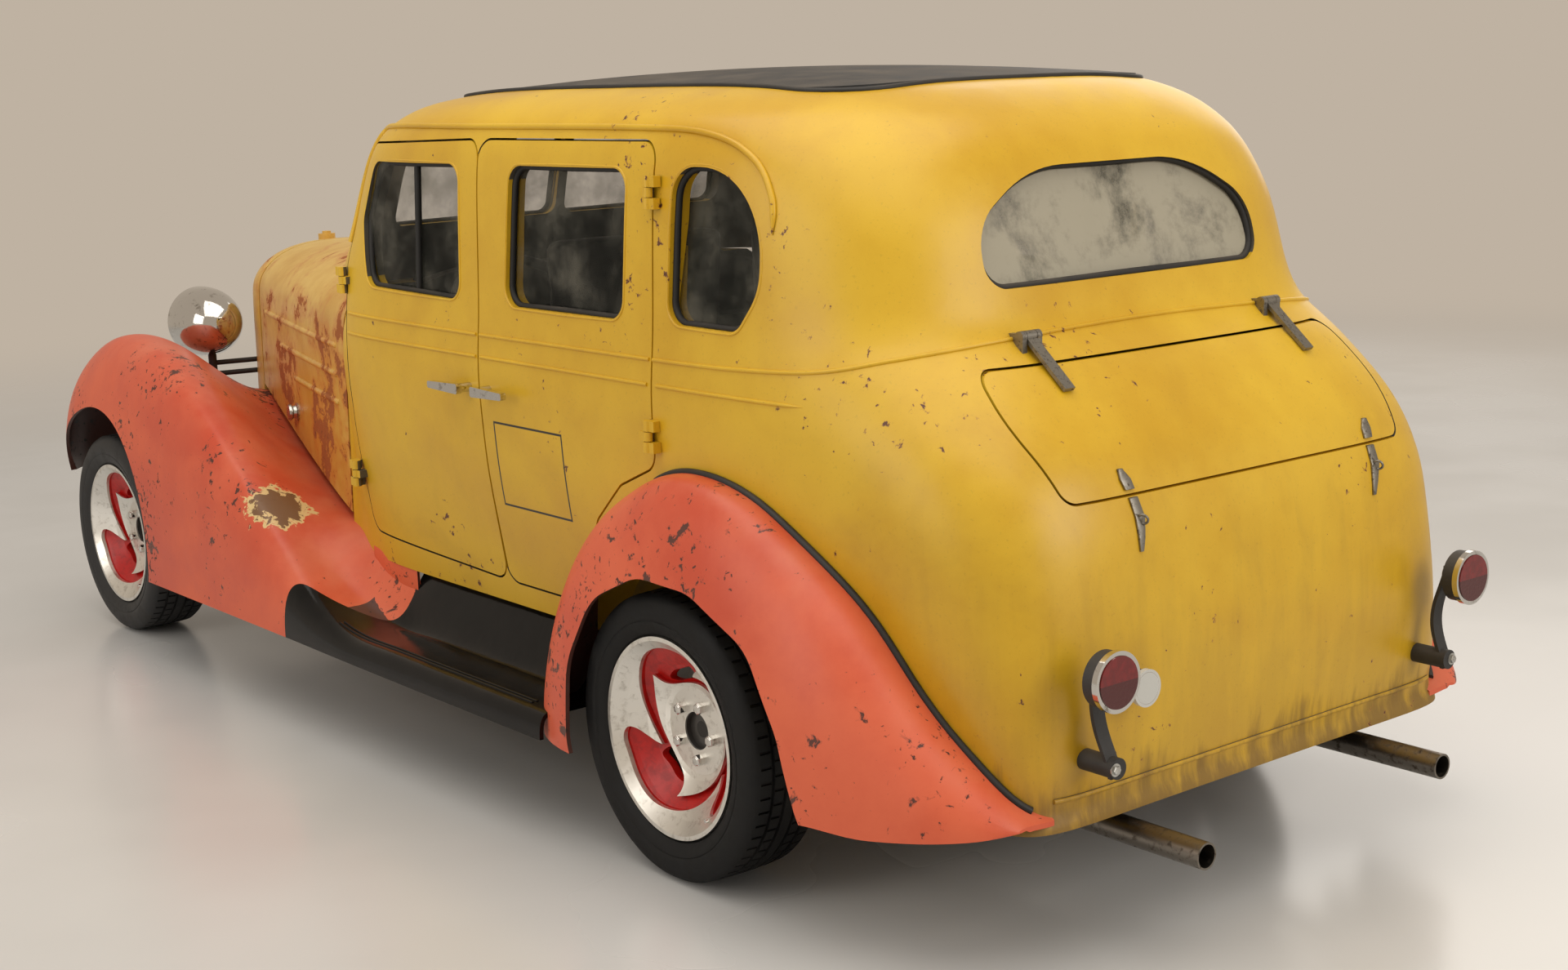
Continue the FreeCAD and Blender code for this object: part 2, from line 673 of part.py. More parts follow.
def underside(whole):
    """Cut the floor line, the rear skirt's hollow, the axle hump and the wheel housings."""
    whole = whole.cut(box(SKIRT_X, 2200, -900, 900, 200, FLOOR_Z))
    skirt_levels = [BODY_BOTTOM - 5, 340, FLOOR_Z]
    hollow = ring_solid([body_ring(z, SKIRT_WALL, 0.0) for z in skirt_levels])
    whole = whole.cut(hollow.common(box(-1000, SKIRT_X, -900, 900, 200, FLOOR_Z)))
    whole = whole.cut(box(KICKUP_REAR, KICKUP_FRONT, -WHEELHOUSE_Y, WHEELHOUSE_Y, 200, KICKUP_Z))
    for side in (1, -1):
        whole = whole.cut(rod((0, side * (WHEELHOUSE_Y - 1), TYRE_RADIUS), (0, side * 900, TYRE_RADIUS),
                              WHEELHOUSE_RADIUS))
    return whole


def hinge_fixed(point, way, reach):
    """Two lugs of a door hinge with the pin that joins them, on the body's side."""
    third = HINGE_LENGTH / 3.0
    pieces = [rod(point - way * (HINGE_LENGTH / 2), point + way * (HINGE_LENGTH / 2), HINGE_PIN)]
    for low in (-HINGE_LENGTH / 2, HINGE_LENGTH / 2 - third):
        start = point + way * low
        pieces.append(rod(start, start + way * third, HINGE_RADIUS))
        end = start + way * third
        near = min(start.x, start.x + reach)
        wall = max(side_y(x, z) for x in (start.x, start.x + reach) for z in (start.z, end.z)) + SHUT
        pieces.append(box(near, near + abs(reach), wall, start.y + 5, min(start.z, end.z),
                          max(start.z, end.z)))
    return fuse(pieces)


def hinge_moving(point, way, reach):
    """Barrel of a door hinge with the leaf that joins it to the door."""
    half = HINGE_LENGTH / 6.0 - 1.6
    barrel = rod(point - way * half, point + way * half, HINGE_RADIUS)
    leaf = box(min(point.x, point.x - reach), max(point.x, point.x - reach), point.y - BODY_WALL, point.y + 5,
               point.z - half, point.z + half)
    return barrel.fuse(leaf)


def make_body():
    """Body shell, doors, lids, glass and roof insert."""
    outer = body_outer()
    shell = underside(outer).cut(body_inner())
    opening = prism_z(insert_outline(0.0), INSERT_CORNER, 1480, 1700)
    shell = shell.cut(opening)
    roof_rows = []
    mid = (INSERT_FRONT + INSERT_REAR) / 2
    reach = (INSERT_FRONT - INSERT_REAR) / 2
    for x in stations(INSERT_REAR - 60, INSERT_FRONT + 60, 13):
        row = []
        for y in stations(-INSERT_HALF - 50, INSERT_HALF + 50, 13):
            away = (((x - mid) / reach) ** 4 + (y / INSERT_HALF) ** 4) ** 0.5
            row.append(V(x, y, ROOF_TOP - ROOF_DROP * away))
        roof_rows.append(row)
    slab = surface(roof_rows).toShape().extrude(V(0, 0, -ROOF_THICK))
    insert = prism_z(insert_outline(INSERT_GAP), INSERT_CORNER - INSERT_GAP, 1450, 1700)
    keep("roof_insert", [slab.common(insert)])

    doors = {}
    for name, outline in (("front", FRONT_DOOR), ("rear", REAR_DOOR)):
        cutter = prism_y(outline, DOOR_CORNER, 300, 900)
        wide = prism_y(grow(outline, SEAM), DOOR_CORNER + SEAM, 300, 900)
        doors[name] = shell.common(cutter)
        shell = shell.cut(wide).cut(mirror(wide))
    windows = {"front": FRONT_WINDOW, "rear": REAR_WINDOW}
    for name in doors:
        hole = prism_y(windows[name], WINDOW_CORNER, 300, 900)
        groove = side_glass(windows[name], WINDOW_CORNER, BODY_WALL / 2, GLASS_LAP + SHUT)
        doors[name] = doors[name].cut(hole).cut(groove)
        glass = side_glass(windows[name], WINDOW_CORNER, BODY_WALL / 2, GLASS_LAP)
        keep("glass_" + name + "_left", [glass])
        keep("glass_" + name + "_right", [mirror(glass)])

    quarter_hole = prism_y(QUARTER_WINDOW, QUARTER_CORNERS, 300, 900)
    quarter_groove = side_glass(QUARTER_WINDOW, QUARTER_CORNERS, BODY_WALL / 2, GLASS_LAP + SHUT)
    quarter = side_glass(QUARTER_WINDOW, QUARTER_CORNERS, BODY_WALL / 2, GLASS_LAP)
    for tool in (quarter_hole, quarter_groove):
        shell = shell.cut(tool).cut(mirror(tool))

    back_hole = prism_x(BACK_WINDOW, BACK_CORNERS, -800, -380)
    shell = shell.cut(back_hole)
    back = back_glass(GLASS_LAP)
    shell = shell.cut(back_glass(GLASS_LAP + SHUT))
    screens = []
    for side in (1, -1):
        hole = prism_x(screen_outline(side), 30, 1300, 1900)
        shell = shell.cut(hole).cut(screen_glass(side, GLASS_LAP + SHUT))
        screens.append(screen_glass(side, GLASS_LAP))
    keep("body_glass", [quarter, mirror(quarter), back] + screens)

    lid_cut = prism_x(LID, LID_CORNERS, -1000, -420)
    lid_wide = prism_x(grow(LID, SEAM), wider(LID_CORNERS, SEAM), -1000, -420)
    lid_zone = box(-1000, -500, -700, 700, 700, 1100)
    lid = shell.common(lid_cut).common(lid_zone).cut(lid_relief())
    shell = shell.cut(lid_wide.common(lid_zone))
    keep("trunk_lid", lid.Solids)

    fixed = []
    for name in doors:
        x, reach, high, low = HINGES[name]
        top = V(x, side_y(x, high) + HINGE_STAND, high)
        bottom = V(x, max(side_y(x, low) + HINGE_STAND, top.y), low)
        way = (top - bottom).normalize()
        swing = abs(x - DOOR_SEAM_X) - SEAM / 2
        door = doors[name].common(rod(bottom - way * swing, top + way * swing, swing))
        for point in (top, bottom):
            fixed.append(hinge_fixed(point, way, reach))
            half = HINGE_LENGTH / 2 + 2
            door = door.cut(rod(point - way * half, point + way * half, HINGE_RADIUS + HINGE_CLEAR))
            door = door.fuse(hinge_moving(point, way, reach))
            door = door.cut(rod(point - way * HINGE_LENGTH, point + way * HINGE_LENGTH,
                                HINGE_PIN + HINGE_RUN))
        keep("door_" + name + "_left", door.Solids)
        keep("door_" + name + "_right", mirror(door).Solids)
    shell = shell.fuse(door_pillars())
    keep("body_shell", shell.Solids)
    keep("door_hinges", fixed + [mirror(s) for s in fixed])
    return outer


def tail_at(y, z):
    """Place of the tail's outside at a distance from the middle and a height."""
    power = 2.0 / along(TAIL_SQUARE, z)
    reach = BODY_MID_X - along(TAIL_LINE, z)
    side = min(1.0, abs(y) / along(WIDTH_LINE, z)) ** (1.0 / power)
    return BODY_MID_X - reach * (1.0 - side * side) ** (power / 2.0)


def lid_relief():
    """Turned cutter about the lid's hinge that hollows the lid's top edge to swing past the body."""
    half = max(y for y, z in LID if z == LID[0][1])
    edge = LID[0][1] + SEAM
    points = [V(LID_PIN_X, -half, LID_PIN_Z)]
    for y in stations(-half, half, 21):
        radius = math.hypot(LID_PIN_X - tail_at(y, edge), LID_PIN_Z - edge) + LID_SWING
        points.append(V(LID_PIN_X - radius, y, LID_PIN_Z))
    points += [V(LID_PIN_X, half, LID_PIN_Z), points[0]]
    return Part.Face(Part.makePolygon(points)).revolve(V(LID_PIN_X, 0, LID_PIN_Z), V(0, 1, 0), 360)


def door_pillars():
    """Pillar behind the seam of the two doors, on both sides."""
    levels = [FLOOR_Z + FLOOR_THICK - 1, 600, 780, 960, 1120, 1280, 1410, 1470, 1510, 1550]
    inset = BODY_WALL + PILLAR_GAP
    post = ring_solid([body_ring(z, inset, 0.0) for z in levels])
    post = post.cut(ring_solid([body_ring(z, inset + PILLAR_DEPTH, 0.0) for z in levels]))
    zone = box(PILLAR_X[0], PILLAR_X[1], -900, 900, 400, 1545)
    return post.common(zone)


def back_glass(lap):
    """Rear window pane, leaning forward at its top."""
    depth = BODY_WALL / 2
    low = V(along(TAIL_LINE, 1206) + depth, 0, 1206)
    high = V(along(TAIL_LINE, 1425) + depth, 0, 1425)
    up = (high - low).normalize()
    normal = V(up.z, 0, -up.x)
    size = 1200.0
    slab = Part.makeBox(size, size, GLASS_THICK + 2 * (lap - GLASS_LAP), V(-size / 2, -size / 2, 0))
    slab.Placement = FreeCAD.Placement(low, FreeCAD.Rotation(V(0, 0, 1), normal))
    slab.translate(normal * -(lap - GLASS_LAP))
    return slab.common(prism_x(grow(BACK_WINDOW, lap), wider(BACK_CORNERS, lap), -900, -300))


def screen_outline(side):
    """Outline of one half of the windshield."""
    points = [(14, 1262), (520, 1262), (500, 1462), (14, 1486)]
    return [(side * y, z) for y, z in points]


def screen_glass(side, lap):
    """One pane of the windshield."""
    depth = BODY_WALL / 2 + 6
    low = V(along(NOSE_LINE, 1262) - depth, 0, 1262)
    high = V(along(NOSE_LINE, 1475) - depth, 0, 1475)
    up = (high - low).normalize()
    normal = V(up.z, 0, -up.x)
    size = 1200.0
    slab = Part.makeBox(size, size, GLASS_THICK + 2 * (lap - GLASS_LAP), V(-size / 2, -size / 2, 0))
    slab.Placement = FreeCAD.Placement(low, FreeCAD.Rotation(V(0, 0, 1), normal))
    slab.translate(normal * -(lap - GLASS_LAP))
    return slab.common(prism_x(grow(screen_outline(side), lap), 30 + lap, 1300, 1900))


def fender_row(x, inset, lines, in_y, shift):
    """One cross-section of a fender, from its outer lower edge over the crown to its inner edge."""
    crown = along(lines["crown"], x) - inset
    ridge = along(lines["ridge"], x)
    out = along(lines["out"], x) - inset
    low = along(lines["low"], x)
    inner_z = along(lines["inner"], x) - inset
    flat = along(lines["flat"], x)
    row = []
    steps = 9
    for i in range(steps + 1):
        angle = 0.5 * math.pi * (1.0 - i / steps)
        y = ridge + (out - ridge) * math.sin(angle) ** (2.0 / lines["power"])
        z = low + (max(crown, low + 1.0) - low) * max(0.0, math.cos(angle)) ** (2.0 / lines["power"])
        row.append(V(x + shift, y, z))
    for i in range(1, steps + 1):
        share = i / steps
        rise = max(0.0, (share - flat) / (1.0 - flat))
        blend = 0.5 + 0.5 * math.cos(math.pi * rise)
        row.append(V(x + shift, ridge + (in_y - ridge) * share, inner_z + (crown - inner_z) * blend))
    return row


def front_inner_y(x):
    """Where the inner edge of the board and of the front fender runs, under the body and the hood."""
    if x > HOOD_FRONT:
        return along(FRONT_IN_Y, x)
    under_hood = hood_half(max(x, FIREWALL_X)) - 22.0
    return along([(1250, BOARD_INNER), (1500, under_hood)], x)


def rear_inner_y(x):
    """Where the rear fender's inner edge runs, inside the body's side."""
    return min(600.0, side_y(max(x, -835.0), along(REAR_IN_Z, x)) - 15.0)


def make_fenders(outer):
    """Front and rear fenders, running boards and the brackets that carry them."""
    lines = {"crown": FRONT_CROWN, "ridge": FRONT_RIDGE_Y, "out": FRONT_OUT_Y, "low": FRONT_LOW_Z,
             "inner": FRONT_IN_Z, "flat": BOARD_FLAT, "power": 2.5}
    places = stations(BOARD_REAR, 1250, 7) + stations(1350, 2900, 12)
    places = places + [2990, 3070, 3140, 3195, 3240, 3272, 3294, 3308]
    outside = [fender_row(x, 0.0, lines, front_inner_y(x), 0.0) for x in places]
    inside = [fender_row(x, FENDER_WALL, lines, front_inner_y(x),
                         -FENDER_WALL if x > 3200 else 0.0) for x in places]
    pressing = sheet(outside, inside)
    front = pressing.cut(prism_z(BOARD_END, BOARD_CORNER, 150, 700))
    front = front.cut(rod((WHEELBASE, 500, TYRE_RADIUS), (WHEELBASE, 1000, TYRE_RADIUS), ARCH_RADIUS))
    front = front.cut(outer)
    front = front.cut(block([shell_section(x, -SHUT, 500) for x in stations(HOOD_FRONT, SHELL_FRONT + 1, 6)]))
    front = biggest(front)

    lines = {"crown": REAR_CROWN, "ridge": REAR_RIDGE_Y, "out": REAR_OUT_Y, "low": REAR_LOW_Z,
             "inner": REAR_IN_Z, "flat": [(0, 0.0), (1, 0.0)], "power": FENDER_POWER}
    places = [-852, -840, -820, -785, -735, -680] + stations(-610, 250, 10) + [320, 380, 425, 458, 480]
    outside = [fender_row(x, 0.0, lines, rear_inner_y(x), 0.0) for x in places]
    inside = [fender_row(x, FENDER_WALL, lines, rear_inner_y(x), 0.0) for x in places]
    rear = sheet(outside, inside)
    rear = rear.cut(prism_y(REAR_ARCH, 160, 500, 1000))
    rear = biggest(rear.cut(outer))
    keep("front_fenders", [front, mirror(front)])
    keep("rear_fenders", [rear, mirror(rear)])

    board = pressing.common(prism_z(grow(BOARD_END, -SHUT), BOARD_CORNER - SHUT, 150, FLOOR_Z - SHUT))
    board = biggest(board.cut(rear))
    under = BOARD_TOP - FENDER_WALL
    for x in BOARD_ARMS:
        arm = box(x - 20, x + 20, RAIL_Y + RAIL_WIDTH, BOARD_OUTER - 60, under - 20, under + 2)
        post = box(x - 20, x + 20, RAIL_Y + RAIL_WIDTH, RAIL_Y + RAIL_WIDTH + 12, under - 20, RAIL_TOP - 5)
        board = board.fuse(arm.fuse(post))
    board = board.removeSplitter()
    keep("running_boards", [board, mirror(board)])


def biggest(shape):
    """The largest solid of a cut piece."""
    return max(shape.Solids, key=lambda solid: solid.Volume)


def shell_section(x, inset, low):
    """Arch across the radiator shell, which narrows and drops towards its front."""
    share = (x - HOOD_FRONT - SEAM) / (SHELL_FRONT - HOOD_FRONT - SEAM)
    narrow = 1.0 - SHELL_NARROW * share * share
    rows = hood_section(HOOD_FRONT, inset, low)
    rise = HOOD_TOP_FRONT - low
    return [V(x, p.y * narrow, p.z - SHELL_DROP * share * share * max(0.0, (p.z - low) / rise)) for p in rows]


def louvre(start, end, z):
    """Long rounded rib on the side of the hood."""
    slope = 12.0 * (HOOD_SHOULDER - z) / (HOOD_SHOULDER - HOOD_EDGE_REAR)
    route = [(x, hood_half(x) + slope - 2.0, z) for x in stations(start, end, 6)]
    rib = sweep(route, LOUVRE_RADIUS)
    tips = [Part.makeSphere(LOUVRE_RADIUS, V(x, y, z)) for x, y, z in (route[0], route[-1])]
    return rib.multiFuse(tips)


def hood_bevel():
    """Wedge cut off the top inner edge of the left half, so that the open halves stay apart."""
    low = V(HOOD_REAR - 20, 0, hood_top(HOOD_REAR - 20) - HOOD_ROD)
    high = V(HOOD_FRONT + 20, 0, hood_top(HOOD_FRONT + 20) - HOOD_ROD)
    reach = HOOD_WALL
    angle = math.radians(HOOD_FOLD)
    slope = low + V(0, reach * math.cos(angle), reach * math.sin(angle))
    wedge = Part.makePolygon([low, slope, low + V(0, 0, reach), low])
    return Part.Face(wedge).extrude(high - low)


def make_hood():
    """Two hood halves on a centre rod, radiator shell, grille, core and engine."""
    places = stations(HOOD_REAR, HOOD_FRONT, 8)
    def edge(x):
        return HOOD_EDGE_REAR + (HOOD_EDGE_FRONT - HOOD_EDGE_REAR) * hood_share(x)
    arch = sheet([hood_section(x, 0.0, edge(x)) for x in places],
                 [hood_section(x, HOOD_WALL, edge(x)) for x in places])
    left = arch.common(box(1600, 3000, HOOD_ROD + HOOD_CLEAR, 900, 300, 1400))
    left = left.cut(rod((HOOD_REAR - 20, 0, hood_top(HOOD_REAR - 20) - HOOD_ROD),
                        (HOOD_FRONT + 20, 0, hood_top(HOOD_FRONT + 20) - HOOD_ROD), HOOD_ROD + HOOD_CLEAR))
    ribs = [louvre(start, end, z) for start, end, z in LOUVRES]
    left = left.cut(hood_bevel()).multiFuse(ribs).removeSplitter()
    keep("hood_left", left.Solids)
    keep("hood_right", mirror(left).Solids)
    start = FIREWALL_X
    end = HOOD_FRONT + SEAM
    centre = rod((start - 9, 0, hood_top(start - 9) - HOOD_ROD),
                 (end + 9, 0, hood_top(end + 9) - HOOD_ROD), HOOD_ROD)
    keep("hood_rod", [centre.common(box(start, end, -50, 50, 900, 1300))])

    low = RAIL_TOP + SHUT
    shell_rows = stations(end, SHELL_FRONT, 6)
    radiator = sheet([shell_section(x, 0.0, low) for x in shell_rows],
                     [shell_section(x, SHELL_WALL, low) for x in shell_rows])
    room = block([shell_section(x, SHELL_WALL + SHUT, low) for x in shell_rows])
    cap_z = HOOD_TOP_FRONT - 14.0
    cap = rod((CAP_X, 0, cap_z), (CAP_X, 0, cap_z + 26), 27)
    cap = cap.fuse(rod((CAP_X, 0, cap_z + 26), (CAP_X, 0, cap_z + 34), 14))
    keep("radiator_shell", [radiator.fuse(cap).removeSplitter()])
    bars = []
    for i in range(GRILLE_BARS):
        y = (i - (GRILLE_BARS - 1) / 2.0) * 20.0
        bars.append(box(SHELL_FRONT - 34, SHELL_FRONT - 6, y - GRILLE_BAR / 2, y + GRILLE_BAR / 2,
                        low + 20, 1200))
    for z in (low + 30, 640, 860):
        bars.append(box(SHELL_FRONT - 26, SHELL_FRONT - 14, -300, 300, z - 6, z + 6))
    grille = bars[0].multiFuse(bars[1:]).common(room)
    keep("grille_bars", [biggest(grille)])
    keep("radiator_core", [box(2900, 2960, -215, 215, low, 1040)])
    seat = RAIL_TOP - CROSS_DROP + SHUT
    engine = prism_y([(1790, seat), (2690, seat), (2690, 900), (1790, 900)], 40, -ENGINE_HALF, ENGINE_HALF)
    keep("engine_block", [engine])


def rail_outline(top, depth):
    """Side outline of a frame rail, which rises over the rear axle."""
    high = top + RAIL_RISE
    upper = [(RAIL_REAR, top), (-420, top), (-300, high), (200, high), (325, top), (RAIL_FRONT, top)]
    lower = [(x, z - depth) for x, z in reversed(upper)]
    return upper + lower


def make_chassis():
    """Frame, axles, springs, tank and exhaust."""
    outline = rail_outline(RAIL_TOP, RAIL_DEPTH)
    wire = Part.makePolygon([V(x, RAIL_Y, z) for x, z in outline + outline[:1]])
    rail = Part.Face(wire).extrude(V(0, RAIL_WIDTH, 0))
    wire = Part.makePolygon([V(x, RAIL_Y - RAIL_WALL, z) for x, z in grow_rail(RAIL_WALL)])
    rail = rail.cut(Part.Face(wire).extrude(V(0, RAIL_WIDTH, 0)))
    pieces = [rail, mirror(rail)]
    for x, z in CROSS_MEMBERS:
        pieces.append(box(x - CROSS_WIDTH / 2, x + CROSS_WIDTH / 2, -RAIL_Y - RAIL_WALL, RAIL_Y + RAIL_WALL,
                          z - RAIL_DEPTH, z - CROSS_DROP))
    pieces.append(box(HOOD_FRONT - 30, RAIL_FRONT, -RAIL_Y - RAIL_WALL, RAIL_Y + RAIL_WALL, RAIL_TOP - 30,
                      RAIL_TOP))
    frame = pieces[0].multiFuse(pieces[1:]).removeSplitter()
    for x in (BUMPER_X - BUMPER_BOLTS_X / 2, BUMPER_X + BUMPER_BOLTS_X / 2):
        for y in (-BUMPER_BOLTS_Y / 2, BUMPER_BOLTS_Y / 2):
            frame = frame.cut(rod((x, y, RAIL_TOP - 60), (x, y, RAIL_TOP + 20), BUMPER_HOLE))
    for y in (-TAIL_BOLTS_Y / 2, TAIL_BOLTS_Y / 2):
        frame = frame.cut(rod((RAIL_REAR + 30, y, RAIL_TOP - 120), (RAIL_REAR + 30, y, RAIL_TOP),
                              BUMPER_HOLE))
    for side in (1, -1):
        centre = side * (RAIL_Y + RAIL_WIDTH / 2)
        low = RAIL_TOP - RAIL_DEPTH
        frame = frame.fuse(box(JACK_PAD_X - 40, JACK_PAD_X + 40, centre - 25, centre + 25,
                               low - JACK_PAD_DEPTH, low))
    keep("frame_rails", frame.Solids)

    z = TYRE_RADIUS
    beam_z = z - 20.0
    half = KINGPIN_Y - 40
    section = [(-half, beam_z - 28), (half, beam_z - 28), (half, beam_z + 28), (-half, beam_z + 28)]
    beam = prism_x(section, 12, WHEELBASE - BEAM_WIDTH / 2, WHEELBASE + BEAM_WIDTH / 2)
    parts = [beam]
    for side in (1, -1):
        y = side * KINGPIN_Y
        parts.append(rod((WHEELBASE, y, z - 34), (WHEELBASE, y, z + 34), 24))
        parts.append(rod((WHEELBASE, y, z - 62), (WHEELBASE, y, z + 62), KINGPIN_RADIUS))
        parts.append(box(WHEELBASE - 20, WHEELBASE + 20, min(y, y - side * 60), max(y, y - side * 60),
                         z - 29, z + 29))
    keep("front_axle", [parts[0].multiFuse(parts[1:]).removeSplitter()])

    drum_start = KINGPIN_Y + 56.0
    axle = [rod((0, -drum_start - 5, z), (0, drum_start + 5, z), AXLE_RADIUS)]
    axle.append(Part.makeSphere(DIFF_RADIUS, V(0, 0, z)))
    axle.append(rod((60, 0, z - 16), (1780, 0, z - 16), TORQUE_TUBE))
    for side in (1, -1):
        axle.append(rod((0, side * drum_start, z), (0, side * (drum_start + DRUM_WIDTH), z), DRUM_RADIUS))
        axle.append(rod((0, side * 600, z), (0, side * (RIM_FACE_Y - HUB_STEP), z), SPINDLE_RADIUS))
    keep("rear_axle", [axle[0].multiFuse(axle[1:]).removeSplitter()])

    stacks = []
    for x, top, rear, front in ((0.0, z + AXLE_RADIUS, SPRING_REACH, SPRING_REACH),
                                (WHEELBASE, beam_z + BEAM_DEPTH / 2, SPRING_REACH,
                                 RAIL_FRONT - WHEELBASE - 5)):
        for side in (1, -1):
            stacks.append(spring(x, side, top + SHUT, rear, front))
    keep("leaf_springs", stacks)

    seat = RAIL_TOP - RAIL_DEPTH - SHUT
    tank = prism_x([(-270, 200), (270, 200), (270, seat - 6), (-270, seat - 6)], 30, -735, -470)
    half = RAIL_Y + RAIL_WIDTH
    straps = [box(x - 14, x + 14, -half, half, seat - 8, seat) for x in (-700, -520)]
    keep("fuel_tank", [tank.multiFuse(straps).removeSplitter()])

    pipes = []
    for side in (1, -1):
        y = side * TIP_Y
        bend = side * 285.0
        run = side * (ENGINE_HALF + PIPE_RADIUS + SHUT)
        tail = rod((TIP_X, y, TIP_Z), (-700, y, TIP_Z), TIP_RADIUS)
        route = [(-710, y, TIP_Z), (-560, y, TIP_Z + 4), (-400, y, 262), (-250, bend, 352), (-110, bend, 390),
                 (110, bend, 390), (300, run, 330), (500, run, 292), (900, run, 290), (1500, run, 290),
                 (1880, run, 292), (1985, run, 370), (2005, run, 520)]
        pieces = [tail, sweep(route, PIPE_RADIUS)]
        pieces.append(rod((640, run, 290), (1140, run, 290), MUFFLER_RADIUS))
        pieces.append(box(870, 890, run - 15, run + 15, 290, FLOOR_Z - SHUT))
        pieces.append(box(-610, -596, y - 10, y + 10, TIP_Z, RAIL_TOP - RAIL_DEPTH - SHUT))
        pipe = pieces[0].multiFuse(pieces[1:])
        pipe = pipe.cut(rod((TIP_X - 10, y, TIP_Z), (-720, y, TIP_Z), TIP_BORE))
        pipes.append(biggest(pipe))
    keep("exhaust_pipes", pipes)


def spring(x, side, low, rear, front):
    """Stack of leaves on an axle with a shackle at each end that reaches the rail."""
    pieces = []
    y0 = side * SPRING_Y - SPRING_WIDTH / 2
    for i in range(SPRING_LEAVES):
        share = (i + 1.0) / SPRING_LEAVES
        z = low + SPRING_LEAF * i
        pieces.append(box(x - rear * share, x + front * share, y0, y0 + SPRING_WIDTH, z, z + SPRING_LEAF))
    top = low + SPRING_LEAF * SPRING_LEAVES
    web = side * (RAIL_Y + RAIL_WIDTH)
    inner = min(web, side * SPRING_Y)
    outer = max(web, side * SPRING_Y)
    for end in (x - rear + 14, x + front - 14):
        pieces.append(box(end - 12, end + 12, y0, y0 + SPRING_WIDTH, top - SPRING_LEAF, top + 14))
        pieces.append(box(end - 12, end + 12, inner, outer, top, top + 14))
    return pieces[0].multiFuse(pieces[1:]).removeSplitter()


def grow_rail(wall):
    """Inside outline of the rail's channel."""
    top = RAIL_TOP - wall
    inner = rail_outline(top, RAIL_DEPTH - 2 * wall)
    inner[0] = (RAIL_REAR - 10, inner[0][1])
    inner[-1] = (RAIL_REAR - 10, inner[-1][1])
    inner[5] = (RAIL_FRONT + 10, inner[5][1])
    inner[6] = (RAIL_FRONT + 10, inner[6][1])
    return inner + inner[:1]


def make_cabin():
    """Seats, dashboard and steering wheel."""
    floor = FLOOR_Z + FLOOR_THICK + SHUT
    front = []
    for side in (1, -1):
        y0 = side * 300 - 250
        cushion = prism_y([(860, floor), (1300, floor), (1340, SEAT_TOP + 20), (880, SEAT_TOP - 10)], 60,
                          y0, y0 + 500)
        back = prism_y([(735, floor), (848, floor), (868, SEAT_TOP + 60), (800, 1290), (716, 1290),
                        (708, 800)], 40, y0, y0 + 500)
        front.append(cushion)
        front.append(back)
    keep("front_seats", front)
    rear_floor = KICKUP_Z + FLOOR_THICK + SHUT
    back_x = PARTITION_X + PARTITION_THICK + SHUT
    cushion = prism_y([(back_x + 150, rear_floor), (330, rear_floor), (360, SEAT_TOP + 30),
                       (back_x + 150, SEAT_TOP)], 50, -540, 540)
    back = prism_y([(back_x, rear_floor), (back_x + 145, rear_floor), (back_x + 110, 1105),
                    (back_x, 1105)], 40, -540, 540)
    keep("rear_seat", [cushion, back])
    dash = prism_y([(1432, 960), (1470, 930), (1520, 1090), (1500, 1150), (1436, 1140)], 15, -660, 660)
    front = COWL_X - 60
    dash = dash.common(block([cowl_section(x, BODY_WALL + SHUT, 600) for x in stations(front, 1600, 4)]))
    hub = V(WHEEL_HUB[0], WHEEL_HUB[1], WHEEL_HUB[2])
    axis = V(-math.cos(math.radians(STEERING_TILT)), 0, math.sin(math.radians(STEERING_TILT)))
    wall = FIREWALL_X - FIREWALL_THICK - SHUT
    column = Part.makeCylinder(19, 620, hub, axis * -1.0).common(box(1000, wall, 0, 900, 0, 1200))
    keep("dashboard", [dash.fuse(column).removeSplitter()])
    ring = Part.makeTorus(STEERING_RADIUS, 13, V(0, 0, 45), V(0, 0, 1))
    wheel = ring.fuse(Part.makeCylinder(34, 56, V(0, 0, 1)))
    for i in range(3):
        spoke = Part.makeCylinder(7, STEERING_RADIUS, V(0, 0, 45), V(1, 0, 0))
        spoke.rotate(V(0, 0, 0), V(0, 0, 1), 30 + 120 * i)
        wheel = wheel.fuse(spoke)
    wheel = wheel.removeSplitter()
    wheel.Placement = FreeCAD.Placement(hub, FreeCAD.Rotation(V(0, 0, 1), axis))
    keep("steering_wheel", wheel.Solids)


def wheel_tyre(x, side):
    """Tyre turned round the wheel's axis."""
    centre = RIM_FACE_Y - RIM_WIDTH / 2.0
    half = TYRE_WIDTH / 2.0
    tread = TYRE_TREAD / 2.0
    seat = RIM_WIDTH / 2.0 - 12.0 - SHUT
    bore = RIM_SEAT + SHUT
    def p(across, radius):
        return V(x, side * (centre + across), TYRE_RADIUS + radius)
    edges = [Part.LineSegment(p(-tread, TYRE_RADIUS), p(tread, TYRE_RADIUS)).toShape(),
             Part.Arc(p(tread, TYRE_RADIUS), p(half, 262), p(seat + 4, RIM_RADIUS + 3)).toShape(),
             Part.LineSegment(p(seat + 4, RIM_RADIUS + 3), p(seat, bore)).toShape(),
             Part.LineSegment(p(seat, bore), p(-seat, bore)).toShape(),
             Part.LineSegment(p(-seat, bore), p(-seat - 4, RIM_RADIUS + 3)).toShape(),
             Part.Arc(p(-seat - 4, RIM_RADIUS + 3), p(-half, 262), p(-tread, TYRE_RADIUS)).toShape()]
    face = Part.Face(Part.Wire(edges))
    return face.revolve(V(x, 0, TYRE_RADIUS), V(0, 1, 0), 360)


# Front surface of the rim's bowl, as depth behind its outer edge and radius


